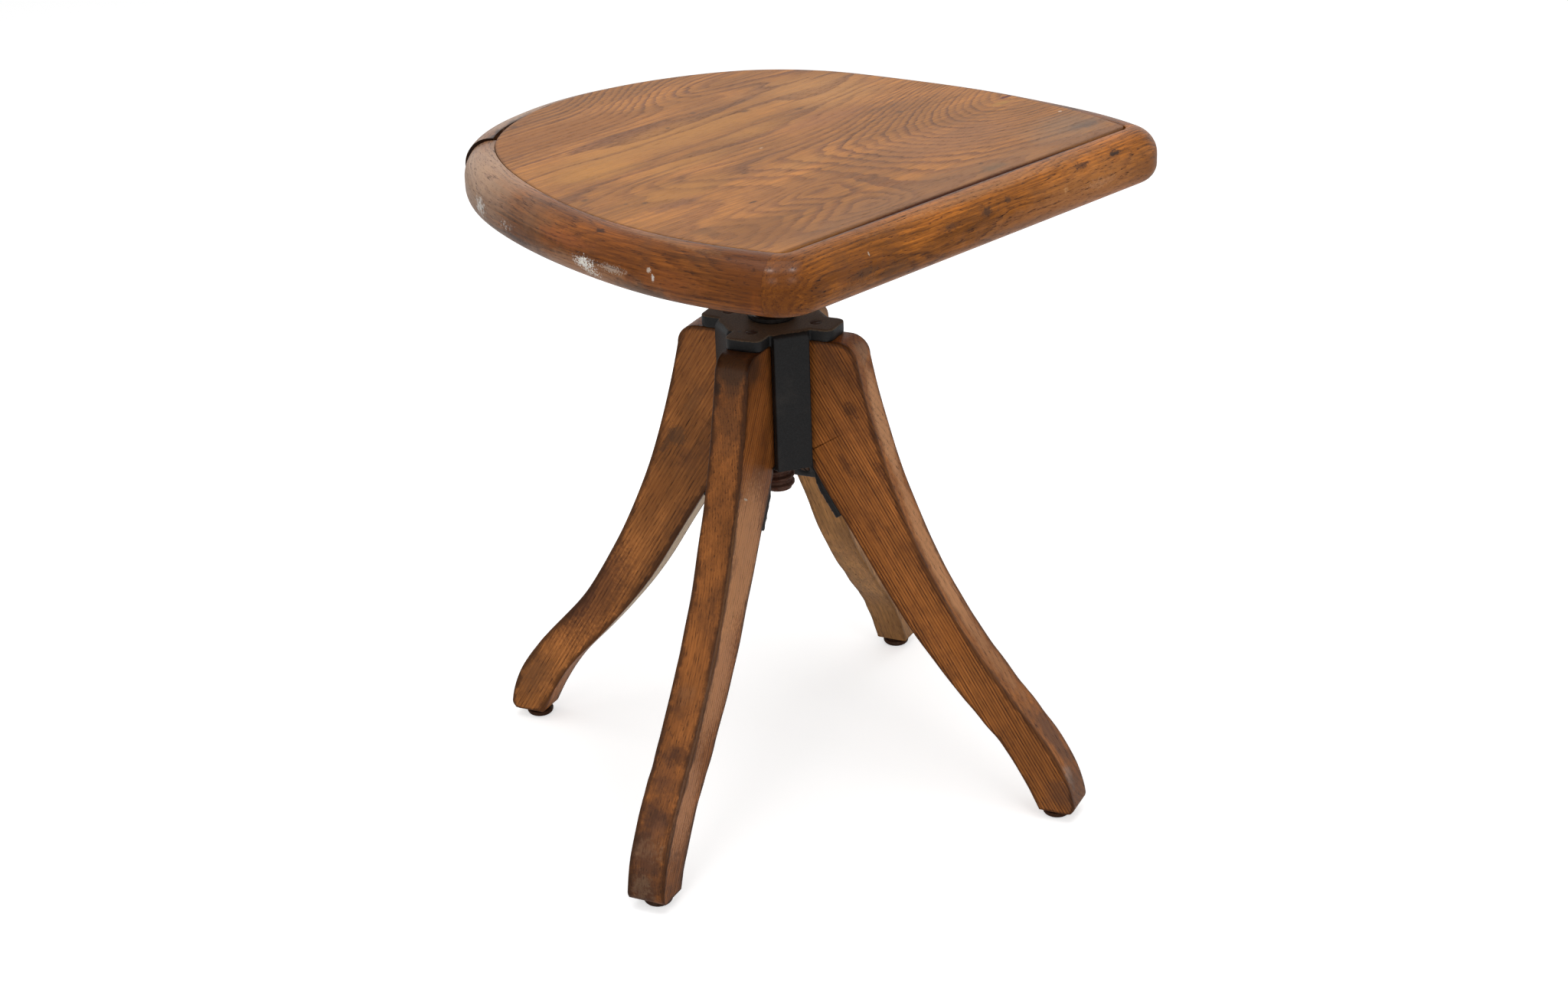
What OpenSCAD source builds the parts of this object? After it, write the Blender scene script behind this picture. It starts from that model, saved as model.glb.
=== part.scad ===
// Screw-adjustable swivel stool. A D-shaped oak seat turns on a threaded
// iron spindle, which climbs through a cast-iron hub that grips four oak legs.
// Millimetres. The origin is on the floor, on the spindle's axis, and +Z is up.
// The straight edge of the seat faces -Y in the pose that is drawn.

/* [Stance] */
// Turn of the right leg from the X axis
leg_angle = 18; // [0:1:40]
// Distance of each glide's centre from the spindle's axis
foot_radius = 210; // [200:1:225]

/* [Glides] */
// Diameter of the domed cap
glide_d = 20; // [18:0.5:22]
// Height of the cap and its washer under the sole
glide_h = 5; // [4:0.25:6]
// Height of the cap alone
glide_cap_h = 3.8; // [3:0.1:3.9]
// Width of the flat that meets the floor
glide_flat_d = 11; // [8:0.5:13]
// Diameter of the washer between the cap and the sole
glide_washer_d = 15; // [12:0.5:17]
// Diameter of the nail
nail_d = 3.2; // [2.5:0.1:4]
// Length of the nail in the leg
nail_len = 17; // [12:1:20]

/* [Legs] */
// Thickness of the board that a leg is cut from
leg_t = 25; // [23:0.5:27]
// Height of a leg from its sole to its top
leg_rise = 334; // [320:1:350]
// Distance from the axis to a leg's outer face at its top
shoulder_r = 68; // [65:0.5:72]
// Rounding of a leg's upper outer corner
shoulder_round = 14; // [8:0.5:16]
// How far the toe stands out beyond the glide's centre
toe_reach = 17; // [14:0.5:20]
// Rounding of the toe where it meets the sole
toe_round = 6; // [3:0.5:8]
// How far the sole runs inwards from the glide's centre
sole_back = 9; // [7:0.5:11]

/* [Hub] */
// Height of the hub's body under its flange
hub_body_h = 94; // [88:1:100]
// Thickness of the flange with the four lobes
flange_t = 9; // [7:0.5:11]
// Outer radius of the tube that the spindle climbs through
tube_r = 19; // [17:0.5:20]
// Reach of a lobe from the axis
lobe_r = 50; // [46:0.5:54]
// How much wider a lobe is than the leg under it, on each side
lobe_margin = 1; // [0.5:0.25:2]
// Rounding of a lobe's end corners
lobe_round = 6; // [3:0.5:9]
// Distance from the axis to the face of a corner panel
panel_reach = 38; // [35:0.5:41]
// Width of a corner panel
corner_w = 26; // [22:0.5:29]
// Rounding of a corner panel's top into the flange
panel_round = 6; // [3:0.5:8]
// Distance from the axis to where a leg leaves the hub's underside
heel_r = 33; // [31:0.5:35]
// Thickness of the floor and the tongue under each leg
tongue_t = 4; // [3:0.5:5]
// Width of a tongue
tongue_w = 21; // [16:0.5:23]
// Length of a tongue along the leg
tongue_len = 34; // [30:1:40]

/* [Spindle] */
// Outer diameter of the thread
spindle_d = 24; // [22:0.5:25]
// Pitch of the thread
pitch = 6; // [5:0.5:8]
// Depth of the thread
thread_depth = 2.4; // [1.5:0.1:2.8]
// Width of the thread's crest
crest_w = 1.6; // [1:0.1:2]
// Slope of each flank along the axis
flank_w = 1.3; // [0.8:0.1:1.5]
// How far the spindle hangs below the hub in the pose that is drawn
spindle_tail = 25; // [20:1:30]
// Rounding of the spindle's lower end
end_round = 5; // [3:0.5:7]
// Plain neck under the seat plate's boss
neck_h = 5; // [4:0.5:8]
// Diameter of the stub in the boss
stub_d = 19; // [17:0.5:20]
// Diameter of the cross pin
pin_d = 6; // [5:0.5:7]

/* [Wear ring] */
// Outer diameter of the ring that lies on the hub
ring_d = 34; // [30:0.5:38]
// Thickness of the ring
ring_t = 4; // [3:0.25:5]
// Chamfer round the ring's outer corners
ring_chamfer = 0.8; // [0.5:0.1:1.2]

/* [Seat plate] */
// Gap from the hub's top to the boss in the pose that is drawn
seat_lift = 80; // [78:1:90]
// Height of the boss under the plate
boss_h = 18; // [16:0.5:20]
// Diameter of the boss
boss_d = 44; // [38:0.5:50]
// Side of the square plate
plate_w = 116; // [100:1:130]
// Thickness of the plate
plate_t = 6; // [5:0.5:8]
// Rounding of the plate's corners
plate_round = 16; // [10:0.5:20]
// Thickness of the ribs between the boss and the plate
rib_t = 6; // [4:0.5:8]
// Distance of a plate screw from the plate's edges
plate_screw_inset = 14; // [12:0.5:16]

/* [Seat] */
// Half of the panel's greatest width
half_w = 190; // [186:1:194]
// Distance from the axis to the panel's straight front edge
front_reach = 174; // [168:1:180]
// Distance from the axis to the panel's back
back_reach = 197; // [192:1:202]
// How far in front of the axis the panel is widest
widest_ahead = 63; // [58:1:68]
// Slope of the line on which the back arc meets a side arc
meet_slope = 0.75; // [0.65:0.05:0.85]
// Radius of the panel's front corners
corner_r = 8; // [6:0.5:10]
// Thickness of the panel
panel_t = 20; // [18:0.5:22]
// Thickness of the rim
rim_t = 36; // [34:0.5:40]
// Flat of the rim between the panel and the rounded edge
rim_flat = 3.5; // [2:0.25:6]
// Width of the shelf that carries the panel
shelf_w = 12; // [10:0.5:14]
// Place of the rim's open joint along the back arc, from its right end
back_joint_share = 0.905; // [0.8:0.005:0.92]
// Place of the rim's joint along the right side arc, from the front corner
right_joint_share = 0.355; // [0.25:0.005:0.6]
// Diameter of the dowels in the rim's joints
dowel_d = 7; // [6:0.5:8]
// Length of a dowel
dowel_len = 24; // [18:1:26]
// Distance of the dowels out from the panel's edge
dowel_out = 4; // [3.5:0.25:5]
// Distance of the dowels above and below the rim's middle
dowel_rise = 8; // [6.5:0.25:9]

/* [Wood screws] */
// Shank diameter of the screws in the legs
leg_screw_d = 4.5; // [4:0.25:5]
// Length of the lobe screws
lobe_screw_len = 38; // [30:1:45]
// Distance of a lobe screw from the axis
lobe_screw_r = 33; // [30:0.5:38]
// Length of the tongue screws
tongue_screw_len = 24; // [18:1:28]
// Distance of a tongue screw from the tongue's end
tongue_screw_inset = 9; // [7:0.5:11]
// Shank diameter of the plate screws
plate_screw_d = 5; // [4.5:0.25:5.5]
// Length of the plate screws
plate_screw_len = 21; // [16:1:23]
// Shank diameter of the screws that hold the panel on its shelf
panel_screw_d = 4; // [3.5:0.25:4.5]
// Length of the screws that hold the panel on its shelf
panel_screw_len = 29; // [25:1:32]

/* [Fits] */
// Radial clearance of the spindle in the hub and the ring
bore_fit = 0.06; // [0.04:0.01:0.1]
// Radial clearance of pins, nails, dowels and screws in their holes
pin_fit = 0.05; // [0.02:0.01:0.08]
// Clearance of a leg in its pocket, on each side and at the tube
leg_fit = 0.2; // [0.1:0.05:0.3]
// Clearance under the ring
ring_fit = 0.3; // [0.2:0.05:0.4]
// Clearance over the spindle's stub, under the panel
stub_fit = 0.5; // [0.3:0.1:1]
// Joint line between the panel and the rim
panel_fit = 0.4; // [0.2:0.1:0.8]

/* [Hidden] */
$fn = 96;

// Overrun of every cut past the face that it opens
overrun = 1;
// Height of the cone at a wood screw's tip, as a share of its diameter
tip_share = 1.4;
// Diameter and height of a countersunk head, as shares of its shank
head_d_shares = [1.9, 0.55];
// Width and depth of a head's slot, as shares of the head
slot_shares = [0.14, 0.45];
// Number of straight steps in each long curve of a leg
curve_steps = 26;

// Where the legs stand, counted from the right leg
RIGHT = 0;
BACK = 1;
LEFT = 2;
FRONT = 3;
SIDES = [RIGHT, BACK, LEFT, FRONT];
function leg_dir(side) = leg_angle + 90 * side;

// Heights from the floor upwards
sole_z = glide_h;
leg_top_z = sole_z + leg_rise;
hub_bottom_z = leg_top_z - hub_body_h;
hub_top_z = leg_top_z + flange_t;
ring_z = hub_top_z + ring_fit;
spindle_end_z = hub_bottom_z - spindle_tail;
boss_z = hub_top_z + seat_lift;
plate_z = boss_z + boss_h;
panel_z = plate_z + plate_t;
seat_top_z = panel_z + panel_t;
rim_z = seat_top_z - rim_t;

// Radii that follow from the fits
bore_r = spindle_d / 2 + bore_fit;
pocket_w = leg_t + 2 * leg_fit;
lobe_w = leg_t + 2 * lobe_margin;

// Long curves of a leg in its own plane, as [distance from the axis, height]:
// cubic curves whose inner control points are shares of the run and the rise
outer_1_shares = [0.32, 0.28];
outer_2_shares = [0.93, 0.24];
inner_1_shares = [0.79, 0.10];
inner_2_shares = [0.73, 0.38];
outer_start = [shoulder_r, leg_top_z - shoulder_round];
outer_end = [foot_radius + toe_reach, sole_z + toe_round];
inner_start = [heel_r, hub_bottom_z];
inner_end = [foot_radius - sole_back, sole_z];
function control(a, b, shares) =
    [a[0] + (b[0] - a[0]) * shares[0], b[1] + (a[1] - b[1]) * shares[1]];
outer_curve = [outer_start, control(outer_start, outer_end, outer_1_shares),
               control(outer_start, outer_end, outer_2_shares), outer_end];
inner_curve = [inner_start, control(inner_start, inner_end, inner_1_shares),
               control(inner_start, inner_end, inner_2_shares), inner_end];
function on_curve(p, t) = pow(1 - t, 3) * p[0] + 3 * pow(1 - t, 2) * t * p[1]
    + 3 * (1 - t) * t * t * p[2] + t * t * t * p[3];
function along_curve(p, t) = pow(1 - t, 2) * (p[1] - p[0])
    + 2 * (1 - t) * t * (p[2] - p[1]) + t * t * (p[3] - p[2]);
function unit(v) = v / norm(v);
function arc_points(centre, r, from, to, steps) =
    [for (i = [0 : steps])
        let (a = from + (to - from) * i / steps)
            centre + r * [cos(a), sin(a)]];

// The tongue follows the start of the leg's inner curve
tongue_end_t = tongue_len / (3 * norm(inner_curve[1] - inner_curve[0]));
tongue_steps = 4;
tongue_screw_t = tongue_end_t * (1 - tongue_screw_inset / tongue_len);

// The panel's outline: a straight front, two side arcs and a back arc that
// meet on one tangent, and two small corner arcs. The corner's distance is
// rounded, so that the front rail and its corners share their end faces.
rounding_share = 0.01;
function whole_share(v) = round(v / rounding_share) * rounding_share;
half_turn = 180;
panel_len = back_reach + widest_ahead;
meet_way = unit([1, meet_slope]);
meet_divisor = meet_way[0] + meet_way[1] - 1;
side_r = (panel_len * meet_way[0] - half_w * (1 - meet_way[1])) / meet_divisor;
back_r = (half_w * meet_way[1] - panel_len * (1 - meet_way[0])) / meet_divisor;
back_c = [0, back_reach - back_r];
right_c = [half_w - side_r, -widest_ahead];
left_c = [-right_c[0], right_c[1]];
meet_a = atan2(meet_way[1], meet_way[0]);
corner_y = corner_r - front_reach;
corner_x = whole_share(right_c[0] + sqrt(pow(side_r - corner_r, 2)
    - pow(corner_y - right_c[1], 2)));
corner_a = atan2(corner_y - right_c[1], corner_x - right_c[0]);
function on_side(share) = corner_a + (meet_a - corner_a) * share;
function on_back(share) = meet_a + (half_turn - 2 * meet_a) * share;
right_joint = on_side(right_joint_share);
back_joint = on_back(back_joint_share);

// Joints of the rim: centre and radius of the arc, and the angle on it
joints = [[right_c, side_r, corner_a], [right_c, side_r, right_joint],
          [back_c, back_r, back_joint], [left_c, side_r, half_turn - corner_a]];
// Screws under the panel, as shares of the arc that each is on
right_screw_shares = [0.18, 0.67];
back_screw_shares = [0.24, 0.6];
left_screw_shares = [0.16, 0.5, 0.86];
arc_screws = concat(
    [for (share = right_screw_shares) [right_c, side_r, on_side(share)]],
    [for (share = back_screw_shares) [back_c, back_r, on_back(share)]],
    [for (share = left_screw_shares) [left_c, side_r, half_turn - on_side(share)]]);
// Screws under the straight front, as shares of the corner's distance
front_screw_shares = [-0.6, 0, 0.6];
function panel_screw_spots() = concat(
    [for (s = arc_screws)
        s[0] + (s[1] - shelf_w / 2) * [cos(s[2]), sin(s[2])]],
    [for (share = front_screw_shares)
        [share * corner_x, shelf_w / 2 - front_reach]]);

// Corner spots of the plate screws
plate_spot = plate_w / 2 - plate_screw_inset;
plate_spots = [for (x = [-plate_spot, plate_spot], y = [-plate_spot, plate_spot]) [x, y]];

// Places a child in the plane of one leg, with its X outwards
module at_leg(side) {
    rotate([0, 0, leg_dir(side)]) children();
}

// Extrudes an outline drawn as [distance from the axis, height]
module leg_slab(width) {
    rotate([90, 0, 0]) linear_extrude(height = width, center = true) children();
}

// A slotted wood screw that points down, with the top of its head at zero
module countersunk_screw(d, length) {
    head_d = d * head_d_shares[0];
    head_h = d * head_d_shares[1];
    tip_h = d * tip_share;
    difference() {
        union() {
            translate([0, 0, -head_h])
                cylinder(h = head_h, d1 = d, d2 = head_d);
            translate([0, 0, tip_h - length])
                cylinder(h = length - tip_h - head_h, d = d);
            translate([0, 0, -length])
                cylinder(h = tip_h, d1 = 0, d2 = d);
        }
        translate([-head_d / 2 - overrun, -head_d * slot_shares[0] / 2,
                   -head_h * slot_shares[1]])
            cube([head_d + 2 * overrun, head_d * slot_shares[0],
                  head_h * slot_shares[1] + overrun]);
    }
}

// The hole that a countersunk screw leaves in what it holds
module screw_hole(d, length) {
    head_d = d * head_d_shares[0] + 2 * pin_fit;
    head_h = d * head_d_shares[1];
    translate([0, 0, -head_h])
        cylinder(h = head_h, d1 = d + 2 * pin_fit, d2 = head_d);
    cylinder(h = overrun, d = head_d);
    translate([0, 0, -length - pin_fit])
        cylinder(h = length + pin_fit, d = d + 2 * pin_fit);
}

// Places a child at a tongue screw's head, with the screw's way as -Z
module at_tongue_screw(side) {
    spot = on_curve(inner_curve, tongue_screw_t);
    way = unit(along_curve(inner_curve, tongue_screw_t));
    head = spot + tongue_t * [way[1], -way[0]];
    at_leg(side) translate([head[0], 0, head[1]])
        rotate([0, atan2(way[1], -way[0]), 0]) children();
}

module at_lobe_screw(side) {
    at_leg(side) translate([lobe_screw_r, 0, hub_top_z]) children();
}

// One leg: the hub's pocket end, the rounded shoulder, the long outer curve,
// the toe, the sole and the long inner curve back to the heel
module leg(side) {
    pocket_r = tube_r + leg_fit;
    outline = concat(
        [[pocket_r, leg_top_z]],
        arc_points([shoulder_r - shoulder_round, leg_top_z - shoulder_round],
                   shoulder_round, 90, 0, 8),
        [for (i = [1 : curve_steps]) on_curve(outer_curve, i / curve_steps)],
        arc_points([outer_end[0] - toe_round, outer_end[1]], toe_round, -9, -90, 6),
        [for (i = [0 : curve_steps])
            on_curve(inner_curve, 1 - i / curve_steps)],
        [[heel_r, hub_bottom_z + tongue_t + leg_fit],
         [pocket_r, hub_bottom_z + tongue_t + leg_fit]]);
    difference() {
        at_leg(side) leg_slab(leg_t) polygon(outline);
        at_lobe_screw(side) screw_hole(leg_screw_d, lobe_screw_len);
        at_tongue_screw(side) screw_hole(leg_screw_d, tongue_screw_len);
        at_leg(side) translate([foot_radius, 0, sole_z - overrun])
            cylinder(h = nail_len + overrun + pin_fit, d = nail_d + 2 * pin_fit);
    }
}

// One nail-on glide: domed cap, washer and nail in one piece
module glide(side) {
    dome_r = (glide_d - glide_flat_d) / 2;
    nail_top = sole_z + nail_len;
    at_leg(side) translate([foot_radius, 0, 0]) rotate_extrude() {
        intersection() {
            union() {
                square([glide_flat_d / 2, glide_cap_h]);
                translate([glide_flat_d / 2, dome_r]) circle(r = dome_r);
            }
            square([glide_d / 2, glide_cap_h]);
        }
        translate([0, glide_cap_h - pin_fit])
            square([glide_washer_d / 2, glide_h - glide_cap_h + pin_fit]);
        translate([0, sole_z - pin_fit]) polygon([
            [0, 0], [nail_d / 2, 0],
            [nail_d / 2, nail_len - nail_d], [0, nail_len + pin_fit]]);
    }
}

// Outline of one corner block between two legs, drawn towards +X
module corner_outline() {
    side_offset = pocket_w / sqrt(2);
    half = corner_w / 2;
    polygon([[side_offset, 0], [half + side_offset, -half], [panel_reach, -half],
             [panel_reach, half], [half + side_offset, half]]);
}

// Side view of one corner block, with its rounded top
module corner_profile() {
    polygon(concat(
        [[0, hub_bottom_z], [panel_reach, hub_bottom_z]],
        arc_points([panel_reach - panel_round, hub_top_z - panel_round],
                   panel_round, 0, 90, 8),
        [[0, hub_top_z]]));
}

// One lobe of the flange, drawn towards +X
module lobe_outline() {
    inset = lobe_r - lobe_round;
    half = lobe_w / 2 - lobe_round;
    union() {
        translate([0, -lobe_w / 2]) square([inset, lobe_w]);
        translate([0, -half]) square([lobe_r, 2 * half]);
        for (y = [-half, half]) translate([inset, y]) circle(r = lobe_round);
    }
}

// Floor of a pocket, let into the corner blocks on both sides
module floor_outline() {
    translate([tube_r / 2, hub_bottom_z]) square([heel_r - tube_r / 2, tongue_t]);
}

// The tongue that runs on from the floor of a pocket, under the leg
module tongue_outline() {
    upper = [for (i = [0 : tongue_steps])
        on_curve(inner_curve, tongue_end_t * i / tongue_steps)];
    lower = [for (i = [tongue_steps : -1 : 0])
        let (t = tongue_end_t * i / tongue_steps,
             way = unit(along_curve(inner_curve, t)))
            on_curve(inner_curve, t) + tongue_t * [way[1], -way[0]]];
    floor_bottom = lower[tongue_steps];
    polygon(concat([[tube_r / 2, hub_bottom_z + tongue_t],
                    [heel_r, hub_bottom_z + tongue_t]],
                   upper, lower,
                   [[floor_bottom[0], min(floor_bottom[1], hub_bottom_z)],
                    [tube_r / 2, hub_bottom_z]]));
}

module hub() {
    color("#232427") difference() {
        union() {
            translate([0, 0, hub_bottom_z])
                cylinder(h = hub_top_z - hub_bottom_z, r = tube_r);
            for (side = SIDES) {
                rotate([0, 0, leg_dir(side) + 45]) intersection() {
                    translate([0, 0, hub_bottom_z])
                        linear_extrude(height = hub_top_z - hub_bottom_z)
                            corner_outline();
                    leg_slab(2 * corner_w) corner_profile();
                }
                at_leg(side) translate([0, 0, leg_top_z])
                    linear_extrude(height = flange_t) lobe_outline();
                at_leg(side) leg_slab(lobe_w) floor_outline();
                at_leg(side) leg_slab(tongue_w) tongue_outline();
            }
        }
        translate([0, 0, hub_bottom_z - overrun])
            cylinder(h = hub_top_z - hub_bottom_z + 2 * overrun, r = bore_r);
        for (side = SIDES) {
            at_lobe_screw(side) screw_hole(leg_screw_d, lobe_screw_len);
            at_tongue_screw(side) screw_hole(leg_screw_d, tongue_screw_len);
        }
    }
}

module leg_left() {
    color("#8a5426") leg(LEFT);
}

module leg_front() {
    color("#8a5426") leg(FRONT);
}

module leg_right() {
    color("#8a5426") leg(RIGHT);
}

module leg_back() {
    color("#8a5426") leg(BACK);
}

module lobe_screws() {
    color("#4a3526") for (side = SIDES)
        at_lobe_screw(side) countersunk_screw(leg_screw_d, lobe_screw_len);
}

module tongue_screws() {
    color("#4a3526") for (side = SIDES)
        at_tongue_screw(side) countersunk_screw(leg_screw_d, tongue_screw_len);
}

module glide_left() {
    color("#3a2a20") glide(LEFT);
}

module glide_front() {
    color("#3a2a20") glide(FRONT);
}

module glide_right() {
    color("#3a2a20") glide(RIGHT);
}

module glide_back() {
    color("#3a2a20") glide(BACK);
}

// The loose ring on the hub that the spindle passes through
module wear_ring() {
    color("#1e1f22") translate([0, 0, ring_z]) rotate_extrude() polygon([
        [bore_r, 0], [ring_d / 2 - ring_chamfer, 0], [ring_d / 2, ring_chamfer],
        [ring_d / 2, ring_t - ring_chamfer],
        [ring_d / 2 - ring_chamfer, ring_t], [bore_r, ring_t]]);
}

// The threaded spindle, with its thread drawn as rings of the real profile
module spindle() {
    crest_r = spindle_d / 2;
    root_r = crest_r - thread_depth;
    first_z = spindle_end_z + end_round;
    turns = floor((boss_z - neck_h - first_z) / pitch);
    stub_top = panel_z - stub_fit;
    thread = [for (i = [0 : turns - 1], k = [0 : 3])
        let (z = first_z + i * pitch)
            k == 0 ? [crest_r, z]
            : k == 1 ? [crest_r, z + crest_w]
            : k == 2 ? [root_r, z + crest_w + flank_w]
            : [root_r, z + pitch - flank_w]];
    color("#3b2a22") difference() {
        rotate_extrude() polygon(concat(
            [[0, spindle_end_z]],
            arc_points([crest_r - end_round, first_z], end_round, -90, -15, 5),
            thread,
            [[crest_r, first_z + turns * pitch], [crest_r, boss_z],
             [stub_d / 2, boss_z], [stub_d / 2, stub_top], [0, stub_top]]));
        translate([0, 0, boss_z + boss_h / 2]) rotate([0, 90, 0])
            cylinder(h = spindle_d, d = pin_d + 2 * pin_fit, center = true);
    }
}

// The cross pin that ties the spindle to the boss
module spindle_pin() {
    color("#4c443d") translate([0, 0, boss_z + boss_h / 2]) rotate([0, 90, 0])
        cylinder(h = boss_d, d = pin_d, center = true);
}

// The cast plate under the seat, with its boss and four ribs
module seat_plate() {
    inset = plate_w / 2 - plate_round;
    rib_reach = plate_spot * sqrt(2) - plate_screw_inset;
    color("#232427") difference() {
        union() {
            translate([0, 0, plate_z]) linear_extrude(height = plate_t) union() {
                translate([-plate_w / 2, -inset]) square([plate_w, 2 * inset]);
                translate([-inset, -plate_w / 2]) square([2 * inset, plate_w]);
                for (x = [-inset, inset], y = [-inset, inset])
                    translate([x, y]) circle(r = plate_round);
            }
            translate([0, 0, boss_z]) cylinder(h = boss_h + plate_t, d = boss_d);
            for (a = [45 : 90 : 315]) rotate([0, 0, a]) leg_slab(rib_t)
                polygon([[stub_d, plate_z + plate_t / 2], [stub_d, boss_z + rib_t],
                         [boss_d / 2, boss_z + rib_t], [rib_reach, plate_z],
                         [rib_reach, plate_z + plate_t / 2]]);
        }
        translate([0, 0, boss_z - overrun])
            cylinder(h = boss_h + plate_t + 2 * overrun, d = stub_d + 2 * pin_fit);
        translate([0, 0, boss_z + boss_h / 2]) rotate([0, 90, 0])
            cylinder(h = boss_d + 2 * overrun, d = pin_d + 2 * pin_fit, center = true);
        for (spot = plate_spots) translate([spot[0], spot[1], plate_z])
            rotate([180, 0, 0]) screw_hole(plate_screw_d, plate_screw_len);
    }
}

module plate_screws() {
    color("#4a3526") for (spot = plate_spots)
        translate([spot[0], spot[1], plate_z]) rotate([180, 0, 0])
            countersunk_screw(plate_screw_d, plate_screw_len);
}

// Outline of the panel, drawn inside the rim by the joint line
module panel_outline() {
    far = 2 * side_r;
    edge = [cos(corner_a), sin(corner_a)];
    intersection() {
        union() {
            difference() {
                intersection() {
                    translate(right_c) circle(r = side_r - panel_fit);
                    translate(left_c) circle(r = side_r - panel_fit);
                }
                polygon([back_c, back_c + far * meet_way, back_c + [0, far],
                         back_c + far * [-meet_way[0], meet_way[1]]]);
                for (m = [1, -1]) scale([m, 1]) polygon([
                    [corner_x, corner_y], [corner_x, -front_reach - overrun],
                    [half_w, -front_reach - overrun],
                    right_c + (side_r + overrun) * edge]);
            }
            translate(back_c) circle(r = back_r - panel_fit);
            for (m = [1, -1]) translate([m * corner_x, corner_y])
                circle(r = corner_r - panel_fit);
        }
        translate([-side_r, panel_fit - front_reach])
            square([2 * side_r, far]);
    }
}

// The flat board that is sat on
module seat_panel() {
    color("#a86d35") difference() {
        translate([0, 0, panel_z]) linear_extrude(height = panel_t) panel_outline();
        for (spot = plate_spots) translate([spot[0], spot[1], plate_z])
            rotate([180, 0, 0]) screw_hole(plate_screw_d, plate_screw_len);
        panel_screw_holes();
    }
}

// Section of the rim, with Y upwards and the panel's edge at X = edge_x. The
// shelf under the panel stops at X = 0.
module rim_section(edge_x) {
    shelf_x = max(0, edge_x - shelf_w);
    union() {
        translate([shelf_x, 0]) square([edge_x + rim_flat - shelf_x, rim_t - panel_t]);
        translate([edge_x, 0]) square([rim_flat, rim_t]);
        intersection() {
            translate([edge_x + rim_flat, rim_t / 2]) circle(r = rim_t / 2);
            translate([edge_x + rim_flat, 0]) square([rim_t / 2, rim_t]);
        }
    }
}

// A stretch of rim along an arc of the panel's edge, from one angle to
// another on either side of it, so that the face at the first is exact
module rim_arc(centre, r, from, to) {
    translate([centre[0], centre[1], rim_z]) rotate([0, 0, from])
        mirror([0, to > from ? 0 : 1, 0])
            rotate_extrude(angle = abs(to - from)) rim_section(r);
}

// Dowels across the rim's joints, or with a fit the holes for them
module dowels(fit) {
    for (j = joints, rise = [-dowel_rise, dowel_rise]) {
        spot = j[0] + (j[1] + dowel_out) * [cos(j[2]), sin(j[2])];
        translate([spot[0], spot[1], rim_z + rim_t / 2 + rise])
            rotate([90, 0, j[2]])
                cylinder(h = dowel_len + 2 * fit, d = dowel_d + 2 * fit, center = true);
    }
}

module panel_screw_holes() {
    for (spot = panel_screw_spots()) translate([spot[0], spot[1], rim_z])
        rotate([180, 0, 0]) screw_hole(panel_screw_d, panel_screw_len);
}

// The straight front rail with both rounded corners. Its shelf ends on the
// lines of the corner joints.
module rim_front() {
    past = 2 * shelf_w;
    color("#80491f") difference() {
        union() {
            translate([corner_x, shelf_w - front_reach, rim_z]) rotate([90, 0, -90])
                linear_extrude(height = 2 * corner_x) rim_section(shelf_w);
            for (m = [0, 1]) mirror([m, 0, 0])
                rim_arc([corner_x, corner_y], corner_r, -90, corner_a);
        }
        for (m = [0, 1]) mirror([m, 0, 0])
            translate([corner_x, corner_y, rim_z - overrun])
                linear_extrude(height = rim_t + 2 * overrun) polygon([
                    [0, 0], [0, past],
                    [-past * cos(corner_a), -past * sin(corner_a)]]);
        dowels(pin_fit);
        panel_screw_holes();
    }
}

// The left side of the rim, from the front corner to the open back joint
module rim_left() {
    color("#7c471f") difference() {
        union() {
            rim_arc(back_c, back_r, half_turn - meet_a, back_joint);
            rim_arc(left_c, side_r, half_turn - meet_a, half_turn - corner_a);
        }
        dowels(pin_fit);
        panel_screw_holes();
    }
}

// The back of the rim, round to the joint on the right side
module rim_back() {
    color("#7c471f") difference() {
        union() {
            rim_arc(right_c, side_r, meet_a, right_joint);
            rim_arc(back_c, back_r, meet_a, back_joint);
        }
        dowels(pin_fit);
        panel_screw_holes();
    }
}

// The short right side of the rim
module rim_right() {
    color("#7c471f") difference() {
        rim_arc(right_c, side_r, corner_a, right_joint);
        dowels(pin_fit);
        panel_screw_holes();
    }
}

module rim_dowels() {
    color("#b98a55") dowels(0);
}

module panel_screws() {
    color("#4a3526") for (spot = panel_screw_spots())
        translate([spot[0], spot[1], rim_z]) rotate([180, 0, 0])
            countersunk_screw(panel_screw_d, panel_screw_len);
}

hub();
leg_left();
leg_front();
leg_right();
leg_back();
lobe_screws();
tongue_screws();
glide_left();
glide_front();
glide_right();
glide_back();
wear_ring();
spindle();
spindle_pin();
seat_plate();
plate_screws();
seat_panel();
rim_front();
rim_left();
rim_back();
rim_right();
rim_dowels();
panel_screws();
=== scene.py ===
import math

import bmesh
import bpy
import numpy as np
from mathutils import Matrix, Vector, noise


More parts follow.
